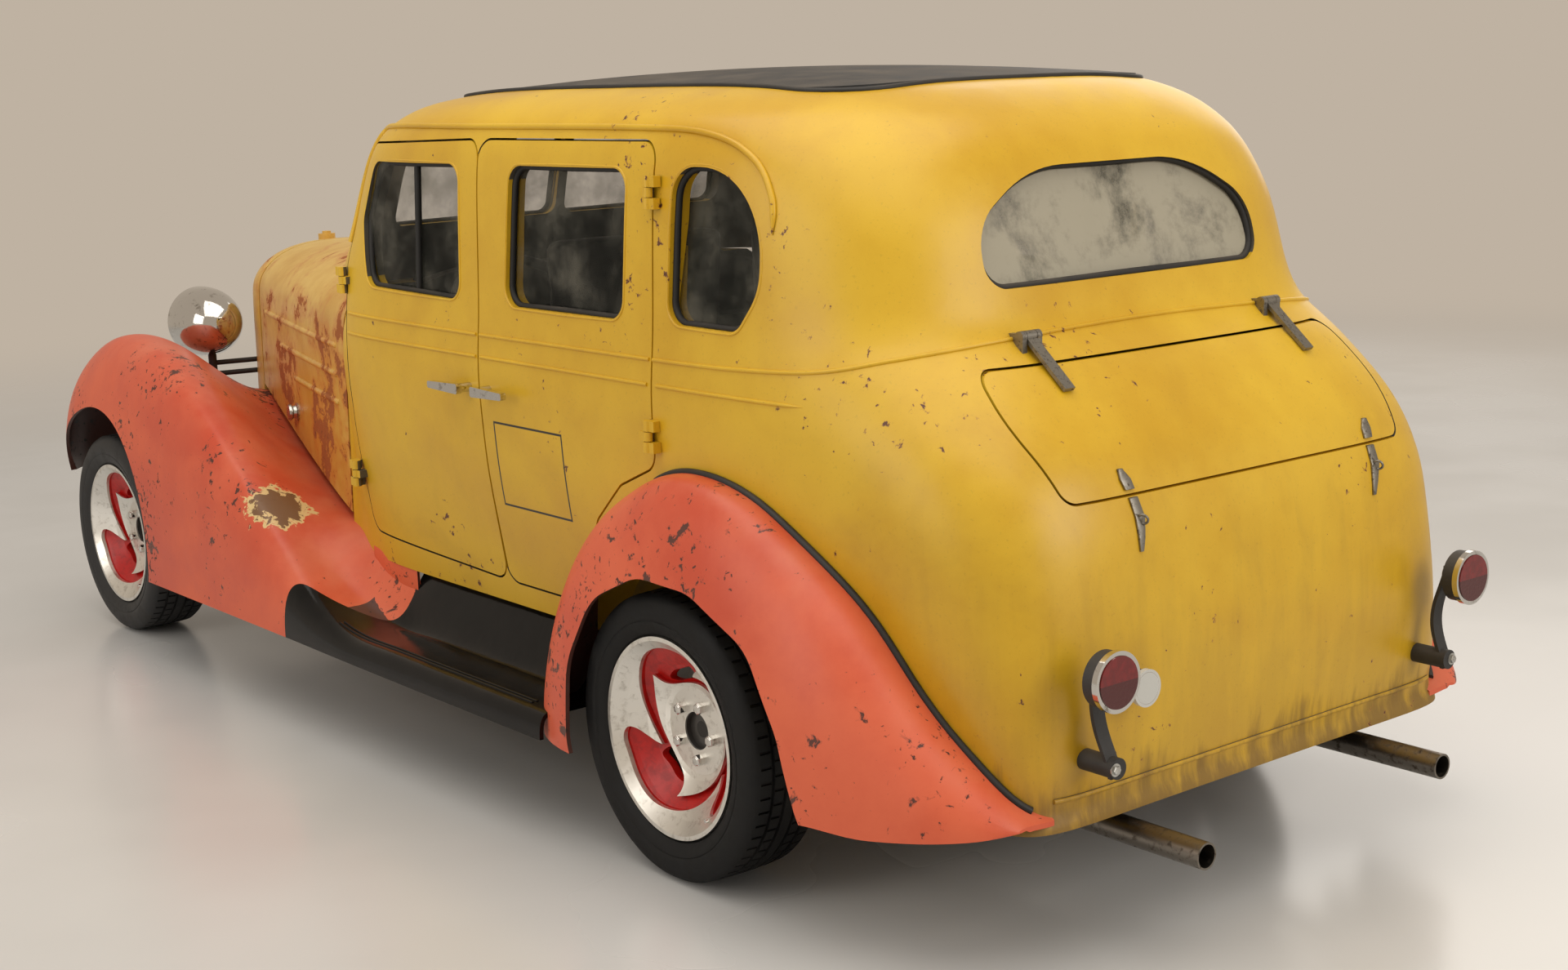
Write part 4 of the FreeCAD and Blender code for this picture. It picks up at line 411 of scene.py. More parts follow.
def coral_paint(settings):
    """Faded coral paint of the four fenders, chipped to dark rust along the wheel arches."""
    made, tree, shader, place = material(
        "Coral Fender Paint", Roughness=0.42, Coat_Weight=0.1, Coat_Roughness=0.35
    )
    x, _, z = axes(tree, place)
    mottle = effect(tree, "mottle", place, Broad=2.0, Fine=11.0)
    coat = blend_colours(tree, mottle["Fade"], settings.coral_deep, settings.coral)
    chalk = effect(tree, "dust", place, Amount=0.55)["Mask"]
    coat = over(tree, coat, chalk, 220, 122, 88)
    # Painted shade: faces under the fenders that look towards the nearer axle go nearly black.
    ahead = calc(tree, "GREATER_THAN", x, (REAR_AXLE + FRONT_AXLE) / 2)
    rear = facing_in(tree, (REAR_AXLE, 0.0, WHEEL_Z), (1.0, 0.6, 1.0))
    front = facing_in(tree, (FRONT_AXLE, 0.0, WHEEL_Z), (1.0, 0.6, 1.0))
    inward_faces = add(tree, "ShaderNodeMix", {0: ahead, 2: rear, 3: front}).outputs[0]
    near = 9.0
    for axle in (REAR_AXLE, FRONT_AXLE):
        flat = add(tree, "ShaderNodeCombineXYZ", {0: minus(tree, x, axle), 2: minus(tree, z, WHEEL_Z)})
        away = add(tree, "ShaderNodeVectorMath", {0: flat.outputs[0]}, operation="LENGTH").outputs["Value"]
        near = calc(tree, "MINIMUM", near, away)
    arch = ramp(tree, near, 0.52, 0.4)
    amount = plus(tree, 0.53, times(tree, arch, 0.12))
    for size in (22.0, 55.0):
        chips = effect(tree, "chips", place, Size=size, Amount=amount, Cluster=2.6)
        coat = over(tree, coat, times(tree, chips["Rim"], 0.5), 150, 62, 40)
        coat = over(tree, coat, chips["Chips"], 86, 44, 32)
    scrape = effect(tree, "patch", place, Centre=SCRAPE, Reach=0.085, Break=26.0)
    coat = over(tree, coat, scrape["Mask"], 222, 190, 130)
    coat = over(tree, coat, scrape["Core"], 120, 84, 52)
    # Painted shade inside the wheel arches.
    coat = over(tree, coat, times(tree, inward_faces, 0.9), 46, 40, 36)
    tree.links.new(coat, shader["Base Color"])
    rough = plus(tree, 0.36, times(tree, mottle["Fade"], 0.14))
    rough = plus(tree, rough, times(tree, chips["Chips"], 0.3), clamp=True)
    tree.links.new(rough, shader["Roughness"])
    grain = effect(tree, "grain", place, Scale=240.0, Waves=9.0)
    bump(tree, shader, plus(tree, grain["Height"], times(tree, chips["Height"], 0.4)), 0.0012)
    return made


def plain_paint(name, base, faded, roughness, dusty=0.3, waves=8.0, depth=0.0008, gloss=0.5):
    """Paint or coating of one colour with fading, dust and a faint uneven surface."""
    made, tree, shader, place = material(name, Roughness=roughness, Specular_IOR_Level=gloss)
    mottle = effect(tree, "mottle", place, Broad=3.0, Fine=20.0)
    coat = blend_colours(tree, mottle["Fade"], base, faded)
    dust = effect(tree, "dust", place, Amount=dusty)["Mask"]
    coat = over(tree, coat, dust, 112, 100, 84)
    tree.links.new(coat, shader["Base Color"])
    rough = plus(tree, roughness, times(tree, mottle["Fade"], 0.1))
    tree.links.new(plus(tree, rough, times(tree, dust, 0.3), clamp=True), shader["Roughness"])
    grain = effect(tree, "grain", place, Scale=320.0, Waves=waves)
    bump(tree, shader, grain["Height"], depth)
    return made


def bright_metal(name, base, worn, roughness, wear=0.35, scale=60.0):
    """Plated or bare metal with cloudy wear and pits."""
    made, tree, shader, place = material(name, Metallic=1.0, Roughness=roughness)
    clouds = noise(tree, place, scale, 5.0, 0.65, 0.4)
    patch = ramp(tree, clouds, 0.62 - wear * 0.3, 0.74)
    coat = blend_colours(tree, patch, base, worn)
    tree.links.new(coat, shader["Base Color"])
    tree.links.new(plus(tree, roughness, times(tree, patch, wear), clamp=True), shader["Roughness"])
    bump(tree, shader, times(tree, clouds, 0.5), 0.0004)
    return made


def rim_paint():
    """Satin alloy wheel with its cut openings painted red, and painted shade round the nuts."""
    made, tree, shader, place = material("Painted Alloy Rim", Roughness=0.3)
    x, y, z = axes(tree, place)
    up = minus(tree, z, WHEEL_Z)
    radius = 9.0
    for axle in (REAR_AXLE, FRONT_AXLE):
        along = minus(tree, x, axle)
        away = calc(tree, "SQRT", plus(tree, times(tree, along, along), times(tree, up, up)))
        radius = calc(tree, "MINIMUM", radius, away)
    depth = minus(tree, TRACK_HALF + RIM_HALF, calc(tree, "ABSOLUTE", y))
    bowl = minus(tree, BOWL_DEPTH, times(tree, BOWL_SLOPE, minus(tree, radius, BOWL_RADIUS)))
    sunk = ramp(tree, minus(tree, depth, bowl), 0.007, 0.009)
    red = times(tree, sunk, between(tree, radius, 0.093, 0.187, 0.001))
    # Painted shade: the deep recess round the nuts is dark grey and not metallic.
    dark = times(tree, ramp(tree, depth, 0.078, 0.080), calc(tree, "LESS_THAN", radius, 0.092))
    clouds = noise(tree, place, 50.0, 5.0, 0.65, 0.4)
    alloy = blend_colours(tree, ramp(tree, clouds, 0.5, 0.74), colour(232, 230, 224), colour(196, 192, 184))
    paint = blend_colours(tree, ramp(tree, clouds, 0.4, 0.7), colour(190, 22, 16), colour(160, 18, 14))
    coat = blend_colours(tree, red, alloy, paint)
    coat = over(tree, coat, dark, 60, 56, 52)
    tree.links.new(coat, shader["Base Color"])
    tree.links.new(minus(tree, 1.0, calc(tree, "MAXIMUM", red, dark), clamp=True), shader["Metallic"])
    tree.links.new(plus(tree, 0.26, times(tree, clouds, 0.16)), shader["Roughness"])
    bump(tree, shader, clouds, 0.0004)
    return made


def glass_with_dirt():
    """Thin pane: clear tinted glass under a broken film of dirt, thickest on the rear window."""
    made, tree, shader, place = material("Tinted Window", Specular_IOR_Level=0.6)
    film = noise(tree, place, 6.0, 8.0, 0.68, 0.1)
    behind = ramp(tree, axes(tree, place)[0], -1.45, -1.55)
    share = plus(tree, 0.3, times(tree, behind, 0.5))
    film = times(tree, ramp(tree, plus(tree, film, times(tree, behind, 0.2)), 0.36, 0.74), share)
    tree.links.new(blend_colours(tree, film, colour(70, 72, 66), colour(186, 176, 152)), shader["Base Color"])
    tree.links.new(ramp(tree, film, 0.0, 1.0, 0.03, 0.6), shader["Roughness"])
    tree.links.new(plus(tree, 0.08, film, clamp=True), shader["Alpha"])
    return made


def rubber_material():
    """Dark tyre rubber with a dusty bloom and a fine ribbed grain."""
    made, tree, shader, place = material("Tyre Rubber", Roughness=0.7)
    bloom = ramp(tree, noise(tree, place, 11.0, 5.0, 0.65), 0.38, 0.72)
    coat = blend_colours(tree, times(tree, bloom, 0.55), colour(30, 30, 31), colour(62, 59, 56))
    tree.links.new(coat, shader["Base Color"])
    tree.links.new(ramp(tree, bloom, 0.0, 1.0, 0.55, 0.8), shader["Roughness"])
    grain = effect(tree, "grain", place, Scale=420.0, Waves=30.0)
    bump(tree, shader, grain["Height"], 0.0006)
    return made


def vinyl_material():
    """Dark seat vinyl with a leather-like grain."""
    made, tree, shader, place = material("Cushion Vinyl", Roughness=0.5)
    cells = {"Vector": place, "Scale": 420.0}
    cells = add(tree, "ShaderNodeTexVoronoi", cells, feature="DISTANCE_TO_EDGE").outputs[0]
    worn = ramp(tree, noise(tree, place, 8.0, 4.0), 0.4, 0.7)
    tree.links.new(blend_colours(tree, worn, colour(40, 36, 34), colour(66, 60, 56)), shader["Base Color"])
    tree.links.new(ramp(tree, worn, 0.0, 1.0, 0.42, 0.6), shader["Roughness"])
    bump(tree, shader, ramp(tree, cells, 0.0, 0.25), 0.0004)
    return made


def lens_material(name, tint, low_share):
    """Moulded lamp lens with small prisms pressed in it, darker in its lower half."""
    made, tree, shader, place = material(name, Roughness=0.14, Coat_Weight=0.3, Coat_Roughness=0.05)
    cloud = ramp(tree, noise(tree, place, 60.0, 3.0), 0.35, 0.7)
    dark = tuple(c * 0.7 for c in tint[:3]) + (1.0,)
    coat = blend_colours(tree, cloud, dark, tint)
    low = ramp(tree, axes(tree, place)[2], LENS_Z + 0.001, LENS_Z - 0.001)
    low_tint = tuple(c * low_share for c in tint[:3]) + (1.0,)
    tree.links.new(blend_colours(tree, low, coat, low_tint), shader["Base Color"])
    prisms = add(tree, "ShaderNodeTexVoronoi", {"Vector": place, "Scale": 150.0}).outputs[0]
    bump(tree, shader, prisms, 0.0002)
    return made


def wear_materials(settings):
    """Every finish, by the name that the pieces ask for."""
    return {
        "yellow": yellow_paint(settings, "Body Yellow"),
        "yellow_sign": yellow_paint(settings, "Rear Door Yellow", sign=True),
        "hood": hood_paint(settings),
        "coral": coral_paint(settings),
        "roof": plain_paint(
            "Roof Insert Black", colour(26, 26, 27), colour(44, 43, 42), 0.55, 0.5, 5.0, 0.002
        ),
        "board": plain_paint(
            "Running Board Black", colour(8, 8, 8), colour(14, 13, 13), 0.1, 0.05, gloss=0.2
        ),
        "chassis": plain_paint("Chassis Black", colour(26, 25, 24), colour(48, 44, 40), 0.6, 0.5),
        "iron": plain_paint("Cast Iron", colour(30, 30, 31), colour(52, 50, 48), 0.5, 0.3, 60.0, 0.001),
        "welt": plain_paint("Welt Rubber", colour(18, 18, 18), colour(34, 33, 32), 0.5, 0.25),
        "dash": plain_paint("Dashboard Paint", colour(58, 52, 44), colour(74, 66, 54), 0.4, 0.3),
        "core": plain_paint("Radiator Core", colour(20, 20, 20), colour(34, 32, 30), 0.6, 0.2),
        "chrome": bright_metal("Chrome", colour(208, 206, 202), colour(140, 134, 126), 0.07, 0.2, 40.0),
        "worn_chrome": bright_metal(
            "Worn Chrome", colour(200, 198, 192), colour(120, 112, 100), 0.2, 0.4, 90.0
        ),
        "pitted": bright_metal(
            "Weathered Metal", colour(140, 136, 128), colour(84, 76, 66), 0.42, 0.4, 120.0
        ),
        "exhaust": bright_metal("Exhaust Steel", colour(128, 122, 114), colour(70, 60, 50), 0.34, 0.4, 70.0),
        "rim": rim_paint(),
        "glass": glass_with_dirt(),
        "tyre": rubber_material(),
        "vinyl": vinyl_material(),
        "red_lens": lens_material("Red Lens", colour(122, 10, 14), 0.35),
        "clear_lens": lens_material("Clear Lens", colour(206, 204, 196), 0.9),
        "seal": plain_paint("Window Rubber", colour(16, 16, 16), colour(34, 32, 30), 0.6, 0.3),
        "bolt": bright_metal("Zinc Bolts", colour(190, 190, 186), colour(120, 112, 100), 0.3, 0.3, 90.0),
        "piping": plain_paint("Cushion Piping", colour(120, 114, 104), colour(150, 144, 132), 0.5, 0.2),
    }


# Solids of the frame by finish; CORNER stands for each of the four corners
CAD_FINISH = {
    "yellow": "body_shell door_hinges trunk_lid door_front_left door_front_right",
    "roof": "roof_insert",
    "glass": "body_glass glass_CORNER",
    "worn_chrome": "hood_rod grille_bars",
    "hood": "radiator_shell hood_left hood_right",
    "core": "radiator_core",
    "iron": "engine_block headlamp_brackets tail_lamp_stands",
    "coral": "front_fenders rear_fenders",
    "board": "running_boards",
    "chassis": "frame_rails front_axle rear_axle leaf_springs fuel_tank knuckle_left knuckle_right",
    "exhaust": "exhaust_pipes",
    "vinyl": "front_seats rear_seat",
    "dash": "dashboard",
    "chrome": "headlamp_bowls tail_lamp_rims handle_CORNER",
    "red_lens": "tail_lamp_lenses",
    "clear_lens": "clear_lenses",
    "pitted": "trunk_hinges lid_straps",
    "welt": "steering_wheel",
    "tyre": "tyre_CORNER",
    "rim": "rim_CORNER",
    "yellow_sign": "door_rear_left door_rear_right",
}
# Slot of each finish that an added piece has
made_finishes = {}


def finish(name):
    """Finish by its short name, made on its first use."""
    if name not in made_finishes:
        made_finishes.update(wear_materials(bpy.context.scene.cab_paint))
    return made_finishes[name]


# Modelling tools


def open_piece(kind, **place):
    """Adds one primitive at its size and place, with nothing else selected, and opens it for shaping."""
    bpy.ops.object.select_all(action="DESELECT")
    getattr(bpy.ops.mesh, "primitive_" + kind + "_add")(**place)
    bpy.ops.object.transform_apply(location=True, rotation=True, scale=True)
    bpy.ops.object.mode_set(mode="EDIT")
    return bpy.context.object


def choose(piece, kind, test):
    """Selects the points, edges or faces whose middle and normal pass a test."""
    bpy.ops.mesh.select_mode(type={"verts": "VERT", "edges": "EDGE", "faces": "FACE"}[kind])
    bpy.ops.mesh.select_all(action="DESELECT")
    shape = bmesh.from_edit_mesh(piece.data)
    for part in getattr(shape, kind):
        if kind == "verts":
            wanted = test(part.co, part.normal)
        elif kind == "edges":
            wanted = test((part.verts[0].co + part.verts[1].co) / 2, part.verts[0].normal)
        else:
            wanted = test(part.calc_center_median(), part.normal)
        part.select_set(bool(wanted))
    shape.select_flush_mode()
    bmesh.update_edit_mesh(piece.data)


def closed_piece():
    """Leaves the open piece and gives it back."""
    bpy.ops.object.mode_set(mode="OBJECT")
    return bpy.context.object


def joined(parts):
    """Joins pieces into the first of them."""
    bpy.ops.object.select_all(action="DESELECT")
    for part in parts:
        part.select_set(True)
    bpy.context.view_layer.objects.active = parts[0]
    bpy.ops.object.join()
    return bpy.context.object


def tidy_mesh():
    """Merges doubled points of the open piece and turns its faces outwards."""
    bpy.ops.mesh.select_mode(type="VERT")
    bpy.ops.mesh.select_all(action="SELECT")
    bpy.ops.mesh.remove_doubles(threshold=0.00001)
    bpy.ops.mesh.normals_make_consistent(inside=False)


def hang(piece, name, body, look, smooth=35.0):
    """Fixes a piece's place in its mesh, gives it its finish and hangs it on a body."""
    if piece.mode != "OBJECT":
        bpy.ops.object.mode_set(mode="OBJECT")
    bpy.ops.object.transform_apply(location=True, rotation=True, scale=True)
    bpy.ops.object.shade_smooth_by_angle(angle=math.radians(smooth))
    piece.name = name
    piece.data.materials.clear()
    piece.data.materials.append(finish(look))
    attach(piece, body)
    return piece


def copied(piece, name, body, look, matrix):
    """Copy of a finished piece with its own mesh, moved or mirrored."""
    made = piece.copy()
    made.data = piece.data.copy()
    made.data.transform(matrix)
    if matrix.determinant() < 0:
        made.data.flip_normals()
    made.name = name
    bpy.context.scene.collection.objects.link(made)
    made.parent = None
    made.matrix_world = Matrix.Identity(4)
    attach(made, body)
    made.data.materials.clear()
    made.data.materials.append(finish(look))
    return made


MIRROR = Matrix.Diagonal((1.0, -1.0, 1.0, 1.0))


def lathe(points, centre, axis, steps):
    """Turned shape, from a chain of (place along the axis, radius), left open for more shaping."""
    centre, axis = Vector(centre), Vector(axis)
    out = Vector((0, 0, 1)) if abs(axis.z) < 0.5 else Vector((1, 0, 0))
    chain = [centre + axis * along + out * radius for along, radius in points]
    piece = open_piece("plane", size=0.001, location=(0, 0, 0))
    bpy.ops.mesh.merge(type="CENTER")
    bpy.ops.transform.translate(value=chain[0])
    for start, end in zip(chain, chain[1:]):
        bpy.ops.mesh.extrude_region_move(TRANSFORM_OT_translate={"value": end - start})
    bpy.ops.mesh.select_all(action="SELECT")
    bpy.ops.mesh.spin(steps=steps, angle=math.tau, center=centre, axis=axis)
    tidy_mesh()
    return piece


def limb(points, sizes, run):
    """Bar drawn out through points along one axis, with its two cross sizes at each, left open."""
    points = [Vector(point) for point in points]
    sign = 1 if points[-1][run] > points[0][run] else -1
    across = [axis for axis in range(3) if axis != run]
    scale = [0.001] * 3
    for axis, value in zip(across, sizes[0]):
        scale[axis] = value
    piece = open_piece("cube", size=1, location=points[0], scale=scale)
    choose(piece, "faces", lambda middle, normal: normal[run] * sign > 0.9)
    for a, b, old, new in zip(points, points[1:], sizes, sizes[1:]):
        bpy.ops.mesh.extrude_region_move(TRANSFORM_OT_translate={"value": b - a})
        ratio = [1.0] * 3
        for axis, before, after in zip(across, old, new):
            ratio[axis] = after / before
        bpy.ops.transform.resize(value=ratio, center_override=b)
    return piece


def soften(offset, segments=2):
    """Rounds every edge of the open piece."""
    bpy.ops.mesh.select_all(action="SELECT")
    bpy.ops.mesh.bevel(offset=offset, segments=segments)


def disc(place, axis, radius, height, sides=24):
    """Round or many-sided block whose foot is at a place, with its head drawn out along an axis."""
    way = Vector([0.0, 0.0, 0.0])
    way[abs(axis) - 1] = 1.0 if axis > 0 else -1.0
    turn = {1: (0, math.pi / 2, 0), 2: (math.pi / 2, 0, 0), 3: (0, 0, 0)}[abs(axis)]
    return open_piece(
        "cylinder",
        vertices=sides,
        radius=radius,
        depth=height,
        location=Vector(place) + way * height / 2,
        rotation=turn,
    )


def make_bolts(name, places, axis, radius, body, look):
    """Hexagon bolt heads on washers, joined into one piece."""
    parts = []
    for place in places:
        disc(place, axis, radius * 1.45, radius * 0.25)
        parts.append(closed_piece())
        piece = disc(place, axis, radius, radius * 0.9, 6)
        choose(piece, "faces", lambda middle, normal: abs(normal[abs(axis) - 1]) > 0.9)
        bpy.ops.mesh.bevel(offset=radius * 0.12, segments=2)
        parts.append(closed_piece())
    return hang(joined(parts), name, body, look, 30.0)


def strand(name, lines, radius, body, look, closed=False):
    """Round bead along one line of points or more; a fourth value thins it at a point."""
    if not isinstance(lines[0][0], (list, tuple, Vector)):
        lines = [lines]
    curve = bpy.data.curves.new(name, "CURVE")
    curve.dimensions = "3D"
    curve.bevel_depth = radius
    curve.bevel_resolution = 2
    curve.use_fill_caps = True
    for line in lines:
        spline = curve.splines.new("POLY")
        spline.points.add(len(line) - 1)
        for spot, point in zip(spline.points, line):
            spot.co = (point[0], point[1], point[2], 1.0)
            spot.radius = point[3] if len(point) > 3 else 1.0
        spline.use_cyclic_u = closed
    piece = bpy.data.objects.new(name, curve)
    bpy.context.scene.collection.objects.link(piece)
    bpy.ops.object.select_all(action="DESELECT")
    bpy.context.view_layer.objects.active = piece
    piece.select_set(True)
    bpy.ops.object.convert(target="MESH")
    piece = bpy.context.object
    bpy.ops.object.mode_set(mode="EDIT")
    tidy_mesh()
    return hang(piece, name, body, look, 60.0)


def touch(nodes, start, way):
    """Nearest point, and the normal there, where a line meets the named solids."""
    start, way = Vector(start), Vector(way).normalized()
    best = None
    for name in nodes:
        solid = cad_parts.get(name) or bpy.data.objects[name]
        hit, place, normal, _ = solid.ray_cast(start, way)
        if hit and (best is None or (place - start).length < (best[0] - start).length):
            best = (place.copy(), normal.copy())
    if best is None:
        raise RuntimeError(
            "No surface of %s under %s" % (", ".join(nodes), tuple(round(v, 3) for v in start))
        )
    return best


def on_side(nodes, x, z, proud):
    """Point on the left side of the named solids, a little proud of them."""
    place, normal = touch(nodes, (x + REAR_AXLE, 1.2, z), (0, -1, 0))
    return place + normal * proud


def along_line(line, count):
    """Evenly spread points along a smooth line through corner points."""
    result = []
    spans = len(line) - 1
    for i in range(count):
        t = spans * i / (count - 1)
        k = min(int(t), spans - 1)
        u = t - k
        before, a, b, after = line[max(k - 1, 0)], line[k], line[k + 1], line[min(k + 2, spans)]
        point = []
        for p0, p1, p2, p3 in zip(before, a, b, after):
            slope1, slope2 = (p2 - p0) / 2, (p3 - p1) / 2
            bend = 2 * u**3 - 3 * u**2
            point.append(
                (1 + bend) * p1 + (u**3 - 2 * u**2 + u) * slope1 - bend * p2 + (u**3 - u**2) * slope2
            )
        result.append(tuple(point))
    return result


def rounded_outline(corners, radii, steps=8):
    """Points of a closed outline with each corner rounded by its own radius."""
    points = []
    count = len(corners)
    for i, radius in enumerate(radii):
        corner = Vector(corners[i])
        a = (Vector(corners[i - 1]) - corner).normalized()
        b = (Vector(corners[(i + 1) % count]) - corner).normalized()
        half = a.angle(b) / 2
        centre = corner + (a + b).normalized() * (radius / math.sin(half))
        start, end = corner + a * radius / math.tan(half), corner + b * radius / math.tan(half)
        first, last = start - centre, end - centre
        for k in range(steps + 1):
            share = k / steps
            spot = (first * (1 - share) + last * share).normalized() * radius
            points.append(centre + spot)
    dense = []
    for a, b in zip(points, points[1:] + points[:1]):
        pieces = max(1, int((b - a).length / 0.03))
        dense += [a + (b - a) * k / pieces for k in range(pieces)]
    return dense


class CabPaint(bpy.types.PropertyGroup):
    """Colours of the coats of paint."""

    def shade(label, text, *rgb):
        return bpy.props.FloatVectorProperty(
            name=label, description=text, size=4, subtype="COLOR", min=0, max=1, default=colour(*rgb)
        )

    yellow: shade("Yellow", "Body paint where it is well kept", 221, 177, 37)
    yellow_deep: shade("Deep yellow", "Body paint where it has darkened", 204, 155, 22)
    hood_pale: shade("Pale hood yellow", "Hood paint where it has bleached", 222, 182, 92)
    hood_deep: shade("Deep hood yellow", "Hood paint where it has darkened", 200, 148, 52)
    coral: shade("Coral", "Fender paint where it has faded", 222, 100, 62)
    coral_deep: shade("Deep coral", "Fender paint where it is well kept", 202, 74, 42)


class CabSizes(bpy.types.PropertyGroup):
    """Sizes of the added pieces."""

    groove_depth: bpy.props.FloatProperty(
        name="Tread depth", description="Depth of the grooves in the tyres", default=0.006, unit="LENGTH"
    )
    lens_mm: bpy.props.FloatProperty(
        name="Camera lens", description="Focal length in millimetres", default=49.43
    )


class CAB_OT_finishes(bpy.types.Operator):
    """Gives each solid of the frame its finish"""

    bl_idname = "cab.finishes"
    bl_label = "Finishes"

    def execute(self, context):
        looks = {}
        for look, names in CAD_FINISH.items():
            for name in names.split():
                for corner in CORNERS:
                    looks[name.replace("CORNER", corner)] = look
        for name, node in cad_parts.items():
            node.data.materials.clear()
            node.data.materials.append(finish(looks[name]))
        return {"FINISHED"}


class CAB_OT_stage(bpy.types.Operator):
    """Pale floor, soft lamps and the camera"""

    bl_idname = "cab.stage"
    bl_label = "Stage"

    def execute(self, context):
        make_floor()
        make_world(context.scene)
        make_lamps()
        make_camera(context.scene)
        return {"FINISHED"}


WALL = colour(191, 178, 162)


def make_floor():
    """Wide floor of pale sealed concrete, slightly glossy."""
    bpy.ops.object.select_all(action="DESELECT")
    bpy.ops.mesh.primitive_plane_add(size=120, location=(0, 0, 0))
    floor = bpy.context.object
    floor.name = "floor"
    made, tree, shader, place = material("Studio Floor", Roughness=0.22)
    clouds = ramp(tree, noise(tree, place, 0.8, 3.0), 0.3, 0.7)
    tree.links.new(
        blend_colours(tree, clouds, colour(206, 202, 196), colour(214, 210, 204)), shader["Base Color"]
    )
    tree.links.new(ramp(tree, clouds, 0.0, 1.0, 0.2, 0.28), shader["Roughness"])
    far = add(tree, "ShaderNodeVectorMath", {0: place}, operation="LENGTH").outputs["Value"]
    wall = add(tree, "ShaderNodeEmission", {0: WALL})
    solid = tree.nodes["Principled BSDF"].outputs[0]
    both = add(tree, "ShaderNodeMixShader", {0: ramp(tree, far, 4.5, 10.0), 1: solid, 2: wall.outputs[0]})
    tree.links.new(both.outputs[0], tree.nodes["Material Output"].inputs[0])
    floor.data.materials.append(made)


def make_world(scene):
    """Even pale room: light on the object, and a pale wall for the camera and for reflections."""
    world = bpy.data.worlds.new("Studio Room")
    world.use_nodes = True
    tree = world.node_tree
    lit = tree.nodes["Background"]
    lit.inputs[0].default_value = (1.0, 0.985, 0.96, 1.0)
    lit.inputs[1].default_value = 0.46
    wall = add(tree, "ShaderNodeBackground", {0: WALL, 1: 1.0})
    path = add(tree, "ShaderNodeLightPath").outputs
    seen = calc(tree, "MAXIMUM", path["Is Glossy Ray"], path["Is Transmission Ray"])
    seen = calc(tree, "MAXIMUM", path["Is Camera Ray"], seen)
    both = add(tree, "ShaderNodeMixShader", {0: seen, 1: lit.outputs[0], 2: wall.outputs[0]})
    tree.links.new(both.outputs[0], tree.nodes["World Output"].inputs[0])
    scene.world = world
    scene.view_settings.view_transform = "Standard"


def make_lamps():
    """Large soft lamps overhead and to the sides."""
    for name, place, aim, size, power in (
        ("ceiling_lamp", (-1.0, 1.0, 5.2), (0, 0, 0.6), 6.0, 175.0),
        ("tail_lamp_fill", (-7.5, -1.5, 3.4), (-1, 0, 0.8), 3.5, 150.0),
        ("side_lamp_fill", (0.5, 7.5, 3.2), (0, 0, 0.7), 4.0, 105.0),
        ("far_lamp_fill", (2.5, -6.5, 3.6), (0, 0, 0.7), 4.0, 80.0),
    ):
        lamp = bpy.data.lights.new(name, "AREA")
        lamp.size = size
        lamp.energy = power
        lamp.color = (1.0, 0.965, 0.915)
        made = bpy.data.objects.new(name, lamp)
        made.location = place
        made.rotation_euler = (Vector(aim) - Vector(place)).to_track_quat("-Z", "Y").to_euler()
        bpy.context.scene.collection.objects.link(made)


def make_camera(scene):
    """Camera behind the left tail, a little above the roof line, looking slightly down."""
    yaw, pitch, roll = -0.67044, 0.19300, -0.034863
    ahead = Vector((math.cos(yaw) * math.cos(pitch), math.sin(yaw) * math.cos(pitch), -math.sin(pitch)))
    level = ahead.cross(Vector((0, 0, 1))).normalized()
    above = level.cross(ahead)
    right = math.cos(roll) * level + math.sin(roll) * above
    up = math.cos(roll) * above - math.sin(roll) * level
    camera = bpy.data.cameras.new("photo_camera")
    camera.sensor_width = 36.0
    camera.lens = scene.cab_sizes.lens_mm
    camera.clip_end = 200.0
    made = bpy.data.objects.new("photo_camera", camera)
    turn = Matrix((right, up, -ahead)).transposed()
    made.matrix_world = Matrix.Translation((-4.5820, 3.2108, 1.6381)) @ turn.to_4x4()
    scene.collection.objects.link(made)
    scene.camera = made


# Wheels


def wheel_centre(corner):
    """Middle of a wheel."""
    end, hand = corner.split("_")
    return Vector((REAR_AXLE if end == "rear" else FRONT_AXLE, TRACK_HALF * SIDES[hand], WHEEL_Z))


# Side wall of a tyre as (across from its middle, radius), from the bead to the shoulder
TYRE_SIDE = [(-0.0717, 0.1976), (-0.0755, 0.2135), (-0.082, 0.2165), (-0.0895, 0.2265), (-0.094, 0.24),
             (-0.0942, 0.2435), (-0.0928, 0.2455), (-0.0942, 0.2475), (-0.0955, 0.256), (-0.0952, 0.27),
             (-0.091, 0.284), (-0.084, 0.2938), (-0.0752, 0.2992)]
TREAD_GROOVES = (-0.046, -0.0155)


def tyre_section(depth):
    """Half section of the tyre mirrored into a closed loop, with the grooves round its tread."""
    half = list(TYRE_SIDE)
    for middle in TREAD_GROOVES:
        top = WHEEL_Z - 0.0005 - abs(middle) * 0.035
        for across, radius in ((-0.0042, top), (-0.003, top - depth), (0.003, top - depth), (0.0042, top)):
            half.append((middle + across, radius))
    whole = half + [(-across, radius) for across, radius in reversed(half)]
    return whole + whole[:1]


